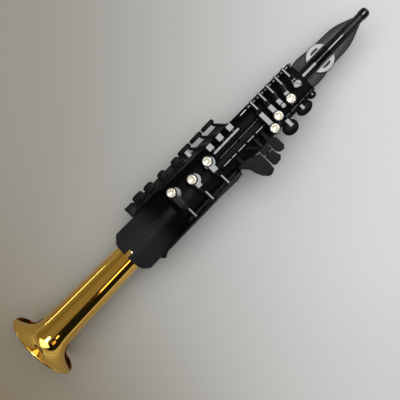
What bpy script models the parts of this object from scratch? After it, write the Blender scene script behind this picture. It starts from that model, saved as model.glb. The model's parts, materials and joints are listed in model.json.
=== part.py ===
"""Electronic soprano saxophone with a straight body.

The axis of the tube runs along X: the bell rim lies at x = 0 and the mouthpiece end at high x. The front with
the keys faces +Z, the player's right-hand side is +Y. Everything is measured from the tube's axis, and at the
end the whole instrument is moved so that the middle of its underside is the origin.
"""

import math

import bmesh
import bpy
from mathutils import Matrix, Vector

MM = 0.001

# ---- running clearances
GAP = 0.3 * MM
ROD_PLAY = 0.35 * MM

# ---- bell
BELL_RIM_RADIUS = 51.8 * MM
BELL_MOUTH_RADIUS = 24.6 * MM
BELL_TAIL_RADIUS = 19.2 * MM
BELL_FLARE_LENGTH = 8.0 * MM
BELL_LENGTH = 186.0 * MM
BELL_SEAT_DEPTH = 18.0 * MM
BELL_WALL = 1.0 * MM
BELL_BEAD_RADIUS = 1.5 * MM
BELL_SIDES = 40
BELL_RINGS = 11

# ---- body housing
BODY_START = 168.0 * MM
BELL_END = BODY_START + BELL_SEAT_DEPTH
BELL_RIM = BELL_END - BELL_LENGTH
BODY_CHAMFER = 9.5 * MM
BODY_STEP = 259.0 * MM
BODY_WAIST = 300.0 * MM
BODY_END = 504.0 * MM
BODY_SPLIT = -3.0 * MM
BODY_WALL = 2.4 * MM
LOW_HALF_WIDTH = 32.5 * MM
LOW_CREST = 24.0 * MM
LOW_SHOULDER = 17.5 * MM
LOW_EDGE = 7.0 * MM
MID_HALF_WIDTH = 29.0 * MM
MID_CREST = 14.0 * MM
MID_SHOULDER = 11.5 * MM
MID_EDGE = 2.5 * MM
TOP_HALF_WIDTH = 27.0 * MM
NOSE_HALF_WIDTH = 22.0 * MM
SHOULDER_Y = 19.0 * MM
RIDGE_Y = 8.0 * MM
BACK_DEPTH = 31.0 * MM
BACK_FLAT_Y = 17.0 * MM
BACK_CHAMFER = 9.0 * MM
END_NOTCH_WIDTH = 8.0 * MM
END_NOTCH_DEPTH = 10.0 * MM
END_NOTCH_Y = 3.0 * MM

# ---- neck
NECK_TUBE_RADIUS = 6.5 * MM
NECK_BORE_RADIUS = 2.2 * MM
NECK_SHOULDER = 619.0 * MM
NECK_TIP_LENGTH = 12.0 * MM
NECK_TIP = NECK_SHOULDER + NECK_TIP_LENGTH
NECK_TIP_RADIUS = 7.0 * MM
NECK_INSIDE_LENGTH = 12.0 * MM
PLATE_END = 612.0 * MM
PLATE_TOP = 0.5 * MM
PLATE_BOTTOM = -11.0 * MM
PLATE_HALF_WIDTH = 22.0 * MM
BRACE_CENTRE = 539.5 * MM
BRACE_RADIUS = 20.5 * MM
BRACE_EDGE = 1.2 * MM
BRACE_THICKNESS = 3.0 * MM
BRACE_SLOT_LENGTH = 14.0 * MM
BRACE_SLOT_WIDTH = 3.4 * MM
BRACE_SLOT_Y = 12.5 * MM
SADDLE_LENGTH = 24.0 * MM
SADDLE_WALL = 1.6 * MM
SADDLE_SHIFT = 3.0 * MM
SADDLE_RIBS = 4
SADDLE_RIB_HEIGHT = 0.5 * MM
COLLAR_WIDTH = 9.0 * MM
COLLAR_WALL = 0.9 * MM

# ---- hinge rods, posts and tubes
ROD_RADIUS = 1.2 * MM
ROD_STICK_OUT = 1.6 * MM
STACK_STICK_OUT = 3.6 * MM
TUBE_RADIUS = 2.5 * MM
POST_FOOT = 5.6 * MM
POST_NECK = 3.4 * MM
POST_HEAD_RADIUS = 2.9 * MM
POST_WIDTH = 2.4 * MM
POST_ROOT = 1.2 * MM
RIGHT_STACK_Y, RIGHT_STACK_Z = -25.0 * MM, 20.0 * MM
LEFT_STACK_Y, LEFT_STACK_Z = 23.0 * MM, 20.0 * MM
SIDE_ROD_Y, SIDE_ROD_Z = 12.6 * MM, 22.0 * MM
CENTRE_ROD_Y, CENTRE_ROD_Z = 2.8 * MM, 20.0 * MM
TABLE_ROD_Y, TABLE_ROD_Z = -8.3 * MM, 22.0 * MM
PALM_ROD_Y, PALM_ROD_Z = -21.5 * MM, 15.5 * MM
LOW_ROD_Y, LOW_ROD_Z = 34.6 * MM, 9.0 * MM

# ---- pearls and cups of the finger keys
PEARL_RADIUS = 6.3 * MM
PEARL_HEIGHT = 2.6 * MM
PEARL_HOLLOW = 0.9 * MM
PEARL_SEAT_DEPTH = 1.2 * MM
HOLDER_WALL = 1.1 * MM
HOLDER_HEIGHT = 2.6 * MM
CUP_RADIUS = 11.2 * MM
LEFT_CUP_RADIUS = 8.1 * MM
GUARD_START = 209.5 * MM
GUARD_REACH = 48.2 * MM
LOW_TOUCH_WIDTH = 12.0 * MM
SIDE_PAD = 9.0 * MM
SIDE_STRIP = 4.0 * MM
SIDE_TOUCH_Y = 45.5 * MM
SIDE_TOUCH_WIDTH = 6.2 * MM
CUP_TOP = 27.0 * MM
CUP_THICKNESS = 3.0 * MM
RIGHT_ARM_WIDTH = 10.0 * MM
LEFT_ARM_WIDTH = 7.8 * MM
ARM_THICKNESS = 2.6 * MM
ARM_TOP = 27.6 * MM

# ---- back of the instrument
RAIL_START = 196.5 * MM
RAIL_END = 356.0 * MM
RAIL_Y, RAIL_Z = -34.0 * MM, 10.4 * MM
RAIL_RADIUS = 2.4 * MM
HOOK_X = 328.0 * MM
HOOK_WIDTH = 26.0 * MM
HOOK_LENGTH = 22.0 * MM
HOOK_THICKNESS = 3.4 * MM
HOOK_TRAVEL = 4.0 * MM
HOOK_BASE_LENGTH = 34.0 * MM
HOOK_BASE_WIDTH = 20.0 * MM
HOOK_BASE_THICKNESS = 2.4 * MM
HOOK_RAIL_WIDTH = 8.0 * MM
STRAP_RING_X = 368.0 * MM
STRAP_RING_RADIUS = 8.0 * MM
STRAP_RING_HOLE = 4.6 * MM
STRAP_RING_THICKNESS = 3.6 * MM
STRAP_BASE_SIZE = 16.0 * MM
STRAP_BASE_THICKNESS = 2.2 * MM
THUMB_REST_X = 432.0 * MM
THUMB_REST_RADIUS = 9.0 * MM
THUMB_REST_HEIGHT = 3.5 * MM
OCTAVE_REACH = 38.0 * MM
OCTAVE_FOOT_THICKNESS = 1.6 * MM
BATTERY_START = 202.0 * MM
BATTERY_LENGTH = 104.0 * MM
BATTERY_WIDTH = 31.0 * MM
CELL_RADIUS = 7.1 * MM
COVER_MARGIN = 3.0 * MM
COVER_THICKNESS = 1.8 * MM
BUTTON_RADIUS = 3.4 * MM
BUTTON_HEIGHT = 1.6 * MM
BUTTON_TRAVEL = 0.9 * MM
BUTTON_PITCH = 13.0 * MM
BUTTON_X = 400.0 * MM

# ---- inner pieces
SPEAKER_LIP = 0.4 * MM
SPEAKER_DEPTH = 8.0 * MM
BOARD_START = 312.0 * MM
BOARD_END = 476.0 * MM
BOARD_HALF_WIDTH = TOP_HALF_WIDTH - BODY_WALL - GAP
BOARD_THICKNESS = 1.6 * MM
BOARD_Z = -2.0 * MM
SENSOR_LENGTH = 9.0 * MM
SENSOR_SIZE = 11.0 * MM


# ---------------------------------------------------------------- materials

def make_material(name, colour, roughness, metallic=0.0):
    """A plain surface with the piece's colour, roughness and metallic value."""
    material = bpy.data.materials.new(name)
    material.use_nodes = True
    shader = material.node_tree.nodes["Principled BSDF"]
    shader.inputs["Base Color"].default_value = (*colour, 1.0)
    shader.inputs["Roughness"].default_value = roughness
    shader.inputs["Metallic"].default_value = metallic
    material.diffuse_color = (*colour, 1.0)
    return material


def make_materials():
    """The surfaces of the instrument, by the name of their use."""
    return {
        "brass": make_material("lacquered_brass", (0.60, 0.36, 0.09), 0.10, 1.0),
        "pale_brass": make_material("pale_brass", (0.72, 0.52, 0.22), 0.22, 1.0),
        "body": make_material("satin_black_body", (0.012, 0.012, 0.014), 0.42),
        "plate": make_material("charcoal_neck_plate", (0.055, 0.055, 0.060), 0.45),
        "key": make_material("gloss_black_key", (0.010, 0.010, 0.012), 0.16),
        "gloss": make_material("gloss_black_plastic", (0.012, 0.012, 0.013), 0.22),
        "steel": make_material("hinge_steel", (0.40, 0.41, 0.43), 0.22, 1.0),
        "pearl": make_material("pale_pearl", (0.86, 0.83, 0.74), 0.14),
        "silver": make_material("satin_silver", (0.52, 0.53, 0.56), 0.34, 0.6),
        "rubber": make_material("matte_black_rubber", (0.02, 0.02, 0.02), 0.75),
        "board": make_material("green_board", (0.02, 0.12, 0.05), 0.5),
        "cell": make_material("cell_wrap", (0.25, 0.25, 0.27), 0.35),
    }


# ---------------------------------------------------------------- shape helpers

def box(low, high):
    """An upright block between two corners."""
    bm = bmesh.new()
    bmesh.ops.create_cube(bm, size=1.0)
    size = [b - a for a, b in zip(low, high)]
    middle = [(a + b) / 2 for a, b in zip(low, high)]
    bmesh.ops.transform(bm, matrix=Matrix.Translation(middle) @ Matrix.Diagonal((*size, 1.0)), verts=bm.verts)
    return bm


def skin(rings, twisted=False):
    """A closed body through rings of points that all have the same count; twisted sides become triangles."""
    bm = bmesh.new()
    rows = [[bm.verts.new(p) for p in ring] for ring in rings]
    count = len(rows[0])
    for a, b in zip(rows, rows[1:]):
        for i in range(count):
            j = (i + 1) % count
            bm.faces.new((a[i], a[j], b[j], b[i]))
    if twisted:
        bmesh.ops.triangulate(bm, faces=bm.faces)
    bm.faces.new(rows[0])
    bm.faces.new(rows[-1])
    bmesh.ops.recalc_face_normals(bm, faces=bm.faces)
    return bm


def prism(outline, z_low, z_high):
    """An outline in the XY plane, given a height."""
    return skin([[(x, y, z) for x, y in outline] for z in (z_low, z_high)])


def side_prism(outline, y_low, y_high):
    """An outline in the XZ plane, given a width along Y."""
    return skin([[(x, y, z) for x, z in outline] for y in (y_low, y_high)])


def rod_along_x(x_low, x_high, y, z, radius, sides=10):
    """A round bar along X, with a flat facing down."""
    turn = math.pi / sides
    return skin([[(x, y + radius * math.cos(turn + 2 * math.pi * i / sides),
                   z + radius * math.sin(turn + 2 * math.pi * i / sides)) for i in range(sides)]
                 for x in (x_low, x_high)])


def disc(x, y, z_low, z_high, radius, sides=20, top_radius=None):
    """An upright round plate, narrower at the top where a top radius is given."""
    rings = []
    for z, r in ((z_low, radius), (z_high, top_radius or radius)):
        rings.append([(x + r * math.cos(2 * math.pi * i / sides),
                       y + r * math.sin(2 * math.pi * i / sides), z) for i in range(sides)])
    return skin(rings)


def turned(profile, sides):
    """A body turned about the X axis from a closed profile of (x, radius) points, with a flat facing down."""
    bm = bmesh.new()
    turn = math.pi / sides
    rows = []
    for i in range(sides):
        angle = turn + 2 * math.pi * i / sides
        rows.append([bm.verts.new((x, r * math.cos(angle), r * math.sin(angle))) for x, r in profile])
    count = len(profile)
    for i in range(sides):
        a, b = rows[i], rows[(i + 1) % sides]
        for j in range(count):
            k = (j + 1) % count
            bm.faces.new((a[j], a[k], b[k], b[j]))
    bmesh.ops.recalc_face_normals(bm, faces=bm.faces)
    return bm


def swept_bar(points, widths, thickness):
    """A flat bar along a path, with chamfered edges; each point has its own width."""
    path = [Vector(p) for p in points]
    rings = []
    for i, point in enumerate(path):
        before = path[max(i - 1, 0)]
        after = path[min(i + 1, len(path) - 1)]
        forward = (after - before).normalized()
        side = forward.cross(Vector((0, 0, 1))).normalized()
        up = side.cross(forward)
        half = widths[i] / 2
        deep = thickness / 2
        cut = thickness * 0.3
        corners = ((-half, -deep), (half, -deep), (half, deep - cut), (half - cut, deep),
                   (cut - half, deep), (-half, deep - cut))
        rings.append([point + side * a + up * b for a, b in corners])
    return skin(rings)


def oval(x, y, length, width, corner, steps=4):
    """The outline of a rectangle with round corners, its length along X."""
    points = []
    for quarter, (sx, sy) in enumerate(((1, 1), (-1, 1), (-1, -1), (1, -1))):
        for i in range(steps + 1):
            angle = math.pi / 2 * (quarter + i / steps)
            points.append((x + sx * (length / 2 - corner) + corner * math.cos(angle),
                           y + sy * (width / 2 - corner) + corner * math.sin(angle)))
    return points


def dome(x, y, z, half_length, half_width, height, sides=16, rings=4):
    """A low rounded hump with a flat underside."""
    rows = [[(x + half_length * 0.94 * math.cos(2 * math.pi * i / sides),
              y + half_width * 0.94 * math.sin(2 * math.pi * i / sides), z - height * 0.35) for i in range(sides)]]
    for k in range(rings):
        rise = math.pi / 2 * k / rings
        rows.append([(x + half_length * math.cos(rise) * math.cos(2 * math.pi * i / sides),
                      y + half_width * math.cos(rise) * math.sin(2 * math.pi * i / sides),
                      z + height * math.sin(rise)) for i in range(sides)])
    return skin(rows)


def mesh_object(name, bm):
    """A mesh object made from a bmesh, which is freed."""
    mesh = bpy.data.meshes.new(name)
    bm.to_mesh(mesh)
    bm.free()
    found = bpy.data.objects.new(name, mesh)
    bpy.context.scene.collection.objects.link(found)
    return found


def combine(base, others, operation):
    """The solid left when the other solids are joined to the base, or cut from it, one after another."""
    work = mesh_object("work", base)
    tools = [mesh_object("tool", other) for other in others]
    for tool in tools:
        step = work.modifiers.new("step", "BOOLEAN")
        step.operation = operation
        step.solver = "EXACT"
        step.object = tool
    bpy.context.view_layer.update()
    depsgraph = bpy.context.evaluated_depsgraph_get()
    result = bmesh.new()
    result.from_object(work, depsgraph)
    for item in [work, *tools]:
        mesh = item.data
        bpy.data.objects.remove(item)
        bpy.data.meshes.remove(mesh)
    return result


def join(base, *others):
    return combine(base, others, "UNION")


def cut(base, *others):
    return combine(base, others, "DIFFERENCE")


class Workshop:
    """Places finished pieces under the instrument's root, each with its own material."""

    def __init__(self):
        self.materials = make_materials()
        self.root = bpy.data.objects.new("instrument", None)
        bpy.context.scene.collection.objects.link(self.root)
        self.pieces = []

    def place(self, name, bm, material, pivot=(0.0, 0.0, 0.0), parent=None, sharp_angle=35.0):
        """Turn a bmesh in instrument coordinates into a piece with its origin at the pivot."""
        pivot = Vector(pivot)
        bmesh.ops.translate(bm, verts=bm.verts, vec=-pivot)
        piece = mesh_object(name, bm)
        piece.data.materials.append(self.materials[material])
        piece.data.shade_smooth()
        piece.data.set_sharp_from_angle(angle=math.radians(sharp_angle))
        piece.parent = parent or self.root
        piece.location = pivot - (parent.location if parent else Vector((0, 0, 0)))
        self.pieces.append(piece)
        return piece

    def stand_on_origin(self):
        """Move the root so that the middle of the underside of all pieces is the world's origin."""
        bpy.context.view_layer.update()
        corners = [piece.matrix_world @ Vector(corner) for piece in self.pieces for corner in piece.bound_box]
        low = Vector([min(c[k] for c in corners) for k in range(3)])
        high = Vector([max(c[k] for c in corners) for k in range(3)])
        self.root.location = (-(low.x + high.x) / 2, -(low.y + high.y) / 2, -low.z)
        bpy.context.view_layer.update()


# ---------------------------------------------------------------- bell

def bell_radius(x):
    """Outer radius of the bell at a distance from the rim: a slow cone and a quick flare."""
    cone = BELL_MOUTH_RADIUS + (BELL_TAIL_RADIUS - BELL_MOUTH_RADIUS) * x / BELL_LENGTH
    return cone + (BELL_RIM_RADIUS - BELL_BEAD_RADIUS * 0.5 - BELL_MOUTH_RADIUS) * math.exp(-x / BELL_FLARE_LENGTH)


def seat_radius():
    """Radius of the hole that the bell's tube passes through at the end of the housing."""
    return bell_radius(BODY_START - BELL_RIM) + GAP


def rest_depth():
    """How far below the axis the flat of the rim lies."""
    return BELL_RIM_RADIUS * math.cos(math.pi / BELL_SIDES)


def make_bell(shop):
    """The thin turned bell with a rolled bead at its rim."""
    stations = [BELL_LENGTH * (i / BELL_RINGS) ** 2.3 for i in range(1, BELL_RINGS + 1)]
    outer = [(x, bell_radius(x)) for x in stations]
    inner = [(x, bell_radius(x) - BELL_WALL) for x in stations]
    # the flare is so steep near the rim that its inner face is set back towards the mouth as well
    inner = [(min(x, BELL_LENGTH) - (2.2 * BELL_WALL * math.exp(-x / BELL_FLARE_LENGTH) if i < 8 else 0.0), r)
             for i, (x, r) in enumerate(inner)]
    profile = bead_profile() + outer + [(BELL_LENGTH, BELL_TAIL_RADIUS - BELL_WALL)] + inner[-2::-1]
    profile = [(x + BELL_RIM, r) for x, r in profile]
    shop.place("bell", turned(profile, BELL_SIDES), "brass", sharp_angle=50)


def bead_profile():
    """The rolled bead of the rim, from its inner side over the outermost point to the back of the flare."""
    points = []
    for i in range(6):
        angle = math.radians(215 - 235 * i / 5)
        points.append((BELL_BEAD_RADIUS * math.cos(angle), BELL_RIM_RADIUS - BELL_BEAD_RADIUS
                       + BELL_BEAD_RADIUS * math.sin(angle)))
    return points


def make_bell_collar(shop):
    """The pale ring that seats the bell's tube in the end of the housing."""
    inner = seat_radius()
    outer = inner + COLLAR_WALL
    start = BODY_START + BODY_WALL + GAP
    profile = [(start, inner), (start, outer), (start + COLLAR_WIDTH, outer), (start + COLLAR_WIDTH, inner)]
    shop.place("bell_collar", turned(profile, 24), "pale_brass")


# ---------------------------------------------------------------- housing

def body_stations():
    """Half width, crest, shoulder height, edge height and back depth along the housing."""
    chamfer_width = LOW_HALF_WIDTH - BODY_CHAMFER
    slope = 3.0 * MM
    return [
        (BODY_START, chamfer_width + 2 * MM, LOW_CREST - 0.5 * MM, LOW_SHOULDER - 1 * MM, 2 * MM,
         BACK_DEPTH - 6 * MM),
        (BODY_START + BODY_CHAMFER, LOW_HALF_WIDTH, LOW_CREST, LOW_SHOULDER, LOW_EDGE, BACK_DEPTH),
        (BODY_STEP - slope, LOW_HALF_WIDTH - 1 * MM, LOW_CREST, LOW_SHOULDER - 1 * MM, LOW_EDGE, BACK_DEPTH),
        (BODY_STEP + slope, MID_HALF_WIDTH + 2 * MM, MID_CREST, MID_SHOULDER, MID_EDGE, BACK_DEPTH),
        (BODY_WAIST, MID_HALF_WIDTH, MID_CREST, MID_SHOULDER, MID_EDGE, BACK_DEPTH),
        (BODY_END - BODY_CHAMFER, TOP_HALF_WIDTH, MID_CREST, MID_SHOULDER, MID_EDGE, BACK_DEPTH),
        (BODY_END, NOSE_HALF_WIDTH, MID_CREST - 3 * MM, MID_SHOULDER - 3 * MM, MID_EDGE - 2 * MM,
         BACK_DEPTH - 7 * MM),
    ]


def front_ring(x, half_width, crest, shoulder, edge, inset, base):
    """Cross-section of the front half of the housing, inset by the wall where it is the hollow."""
    half = half_width - inset
    shoulder_y = min(SHOULDER_Y, half_width - 3 * MM) - inset * 0.4
    right = [(half, base), (half, edge - inset * 0.5), (shoulder_y, shoulder - inset),
             (RIDGE_Y, crest - 0.8 * MM - inset), (RIDGE_Y * 0.45, crest - inset)]
    points = right + [(-y, z) for y, z in reversed(right)]
    return [(x, y, z) for y, z in points]


def back_ring(x, half_width, depth, inset, base):
    """Cross-section of the back half of the housing."""
    half = half_width - inset
    flat = min(BACK_FLAT_Y, half_width - 5 * MM) - inset * 0.4
    right = [(half, base), (half, BACK_CHAMFER - depth + inset * 0.5), (flat, inset - depth)]
    points = right + [(-y, z) for y, z in reversed(right)]
    return [(x, y, z) for y, z in points]


def pull_in(index, x, stations):
    """Keep the hollow's ends one wall away from the housing's ends."""
    if index == 0:
        return x + BODY_WALL
    if index == len(stations) - 1:
        return x - BODY_WALL
    return x


def half_width_at(x):
    """Half width of the housing at a place along it."""
    stations = body_stations()
    for before, after in zip(stations, stations[1:]):
        if before[0] <= x <= after[0]:
            return before[1] + (after[1] - before[1]) * (x - before[0]) / (after[0] - before[0])
    return stations[-1][1]


def wall_line(places, side):
    """Points just outside the housing's edge at places along it, on the side given by the sign."""
    return [(x, side * (half_width_at(x) + GAP)) for x in places]


def front_height(y):
    """Height of the front cover's outer face at a distance from the middle, under the keys."""
    across = abs(y)
    if across <= RIDGE_Y:
        return MID_CREST - 0.8 * MM
    if across <= SHOULDER_Y:
        return MID_CREST + (MID_SHOULDER - MID_CREST) * (across - RIDGE_Y) / (SHOULDER_Y - RIDGE_Y)
    return MID_SHOULDER + (MID_EDGE - MID_SHOULDER) * (across - SHOULDER_Y) / (TOP_HALF_WIDTH - SHOULDER_Y)


def post(x, y, z, foot_z, width=POST_WIDTH, head=POST_HEAD_RADIUS):
    """A flat post with a round head, from inside the cover's wall up to a hinge rod."""
    arc = [math.radians(-30 + 48 * i) for i in range(6)]
    outline = [(POST_FOOT / 2, foot_z), (POST_NECK / 2, z - head * 1.3)]
    outline += [(head * math.cos(angle), z + head * math.sin(angle)) for angle in arc]
    outline += [(-POST_NECK / 2, z - head * 1.3), (-POST_FOOT / 2, foot_z)]
    return skin([[(x + side * width / 2, y + across, up) for across, up in outline] for side in (-1, 1)])


RIGHT_STACK_POSTS = [260.5 * MM, 286.0 * MM, 318.0 * MM, 347.5 * MM]
LEFT_STACK_POSTS = [405.0 * MM, 418.5 * MM, 435.8 * MM, 451.0 * MM, 466.0 * MM, 481.0 * MM, 497.5 * MM]
SIDE_POSTS = [344.6 * MM, 394.0 * MM]
CENTRE_POSTS = [346.0 * MM, 382.0 * MM, 417.0 * MM]
TABLE_POSTS = [341.0 * MM, 368.4 * MM, 385.4 * MM, 401.4 * MM, 418.0 * MM]
PALM_POSTS = [428.5 * MM, 456.5 * MM, 484.5 * MM, 500.0 * MM]
LOW_LUGS = [225.0 * MM, 245.0 * MM, 265.5 * MM, 291.0 * MM, 311.5 * MM]


def rod_lines():
    """Name, place and post positions of each hinge rod carried by the front cover."""
    return [
        ("right_stack_rod", RIGHT_STACK_Y, RIGHT_STACK_Z, RIGHT_STACK_POSTS),
        ("left_stack_rod", LEFT_STACK_Y, LEFT_STACK_Z, LEFT_STACK_POSTS),
        ("side_key_rod", SIDE_ROD_Y, SIDE_ROD_Z, SIDE_POSTS),
        ("centre_rod", CENTRE_ROD_Y, CENTRE_ROD_Z, CENTRE_POSTS),
        ("table_key_rod", TABLE_ROD_Y, TABLE_ROD_Z, TABLE_POSTS),
        ("palm_key_rod", PALM_ROD_Y, PALM_ROD_Z, PALM_POSTS),
    ]


def make_front_cover(shop):
    """The front half of the housing with the posts that carry the hinge rods."""
    stations = body_stations()
    outer = skin([front_ring(x, w, c, s, e, 0.0, BODY_SPLIT) for x, w, c, s, e, d in stations], True)
    hollow = skin([front_ring(pull_in(i, x, stations), w, c, s, e, BODY_WALL, BODY_SPLIT - 2 * MM)
                   for i, (x, w, c, s, e, d) in enumerate(stations)], True)
    cover = cut(outer, hollow)
    posts = [post(x, y, z, front_height(abs(y) + POST_FOOT / 2) - POST_ROOT)
             for _, y, z, places in rod_lines() for x in places]
    cover = join(cover, *posts)
    bores = [rod_along_x(places[0] - 4 * MM, places[-1] + 4 * MM, y, z, ROD_RADIUS + GAP)
             for _, y, z, places in rod_lines()]
    seat = rod_along_x(BODY_START - 5 * MM, BODY_START + 15 * MM, 0, 0,
                       seat_radius() + 0.1 * MM, 32)
    neck = rod_along_x(BODY_END - 10 * MM, BODY_END + 5 * MM, 0, 0, NECK_TUBE_RADIUS + GAP, 24)
    notch = box((BODY_START - 5 * MM, END_NOTCH_Y - END_NOTCH_WIDTH / 2, 5 * MM),
                (BODY_START + END_NOTCH_DEPTH, END_NOTCH_Y + END_NOTCH_WIDTH / 2, LOW_CREST + 5 * MM))
    cover = cut(cover, seat, neck, notch, *bores)
    shop.place("front_cover", cover, "body")


def make_rods(shop):
    """The steel rods through the posts."""
    for name, y, z, places in rod_lines():
        far = STACK_STICK_OUT if name == "left_stack_rod" else ROD_STICK_OUT
        rod = rod_along_x(places[0] - ROD_STICK_OUT, places[-1] + far, y, z, ROD_RADIUS)
        shop.place(name, rod, "steel")


def make_back_cover(shop):
    """The back half of the housing, with the battery opening, button holes and recesses."""
    stations = body_stations()
    base = BODY_SPLIT - GAP
    outer = skin([back_ring(x, w, d, 0.0, base) for x, w, c, s, e, d in stations], True)
    hollow = skin([back_ring(pull_in(i, x, stations), w, d, BODY_WALL, base + 2 * MM)
                   for i, (x, w, c, s, e, d) in enumerate(stations)], True)
    cover = cut(outer, hollow)
    seat = rod_along_x(BODY_START - 5 * MM, BODY_START + 15 * MM, 0, 0,
                       seat_radius() + 0.1 * MM, 32)
    neck = rod_along_x(BODY_END - 10 * MM, BODY_END + 5 * MM, 0, 0, NECK_TUBE_RADIUS + GAP, 24)
    door = box((BATTERY_START - COVER_MARGIN, -BATTERY_WIDTH / 2, -BACK_DEPTH - 5 * MM),
               (BATTERY_START + BATTERY_LENGTH + COVER_MARGIN, BATTERY_WIDTH / 2,
                -BACK_DEPTH + BODY_WALL + 3 * MM))
    holes = [rod_up(BUTTON_X + BUTTON_PITCH * k, 0, -BACK_DEPTH - 5 * MM, -BACK_DEPTH + 8 * MM,
                    BUTTON_RADIUS + GAP) for k in (-1, 0, 1)]
    shop.place("back_cover", cut(cover, seat, neck, door, *holes), "body")


def rod_up(x, y, z_low, z_high, radius, sides=16):
    """A round bar along Z."""
    return disc(x, y, z_low, z_high, radius, sides)


def make_battery_bay(shop):
    """Battery holder with four cells, and the lift-off door that closes the bay."""
    floor_z = -BACK_DEPTH + BODY_WALL + 1.0 * MM
    cells = []
    for row in (-1, 1):
        for half in (0, 1):
            start = BATTERY_START + half * BATTERY_LENGTH / 2 + 1 * MM
            cells.append(rod_along_x(start, start + BATTERY_LENGTH / 2 - 2 * MM, row * CELL_RADIUS * 1.03,
                                     floor_z + CELL_RADIUS, CELL_RADIUS, 16))
    tray = box((BATTERY_START, -BATTERY_WIDTH / 2 + 1 * MM, floor_z + CELL_RADIUS),
               (BATTERY_START + BATTERY_LENGTH, BATTERY_WIDTH / 2 - 1 * MM,
                floor_z + 2 * CELL_RADIUS + 1.5 * MM))
    shop.place("battery_holder", join(tray, *cells), "cell")
    door = box((BATTERY_START - COVER_MARGIN + GAP, -BATTERY_WIDTH / 2 + GAP, -BACK_DEPTH - 0.2 * MM),
               (BATTERY_START + BATTERY_LENGTH + COVER_MARGIN - GAP, BATTERY_WIDTH / 2 - GAP,
                -BACK_DEPTH + COVER_THICKNESS + 1.0 * MM))
    groove_x = BATTERY_START + BATTERY_LENGTH - 8 * MM
    grooves = [box((groove_x + k * 3 * MM, -8 * MM, -BACK_DEPTH - 2 * MM),
                   (groove_x + k * 3 * MM + 1.2 * MM, 8 * MM, -BACK_DEPTH + 0.6 * MM)) for k in range(3)]
    shop.place("battery_cover", cut(door, *grooves), "body")


# ---------------------------------------------------------------- inner pieces

def make_inner_pieces(shop):
    """Speaker behind the bell, circuit board, and breath sensor behind the neck tube."""
    start = BELL_END + GAP
    radius = BELL_TAIL_RADIUS + SPEAKER_LIP
    speaker = turned([(start, 1 * MM), (start, radius), (start + 2 * MM, radius),
                      (start + SPEAKER_DEPTH, radius * 0.45), (start + SPEAKER_DEPTH, 1 * MM)], 16)
    plug = rod_along_x(start + 1 * MM, start + SPEAKER_DEPTH + 3 * MM, 0, 0, 5 * MM, 16)
    shop.place("speaker", join(speaker, plug), "rubber")
    board = box((BOARD_START, -BOARD_HALF_WIDTH, BOARD_Z),
                (BOARD_END, BOARD_HALF_WIDTH, BOARD_Z + BOARD_THICKNESS))
    switches = [box((x - 3 * MM, y - 3 * MM, BOARD_Z + 0.5 * MM), (x + 3 * MM, y + 3 * MM, BOARD_Z + 5 * MM))
                for x, y in ((330 * MM, 8 * MM), (365 * MM, -8 * MM), (425 * MM, 0.0), (455 * MM, 0.0))]
    shop.place("circuit_board", join(board, *switches), "board")
    inner_end = BODY_END - NECK_INSIDE_LENGTH
    sensor = box((inner_end - SENSOR_LENGTH - GAP, -SENSOR_SIZE / 2, -SENSOR_SIZE / 2),
                 (inner_end - GAP, SENSOR_SIZE / 2, SENSOR_SIZE / 2))
    port = rod_along_x(inner_end - 2 * MM, inner_end + 1 * MM, 0, 0, NECK_BORE_RADIUS, 12)
    shop.place("breath_sensor", cut(sensor, port), "rubber")


# ---------------------------------------------------------------- neck

def plate_outline():
    """The leaf shape of the neck plate, from the housing to its point."""
    start = BODY_END + GAP
    length = PLATE_END - start
    shares = ((0.0, 0.93), (0.06, 0.98), (0.12, 1.0), (0.20, 0.97), (0.30, 0.89), (0.45, 0.845), (0.60, 0.83),
              (0.70, 0.79), (0.78, 0.70), (0.86, 0.56), (0.93, 0.42), (1.0, 0.30))
    upper = [(start + length * along, PLATE_HALF_WIDTH * across) for along, across in shares]
    return upper + [(x, -y) for x, y in reversed(upper)]


def arched_slot(x, sign):
    """A slot with its straight side towards the tube and a bowed side towards the rim of the brace."""
    half = BRACE_SLOT_LENGTH / 2
    inner = BRACE_SLOT_Y - BRACE_SLOT_WIDTH / 2
    bow = [(x + half * math.cos(math.pi * i / 10), sign * (inner + 0.9 * MM + (BRACE_SLOT_WIDTH - 0.9 * MM)
            * math.sin(math.pi * i / 10))) for i in range(11)]
    return bow + [(x - half, sign * inner), (x + half, sign * inner)]


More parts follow.
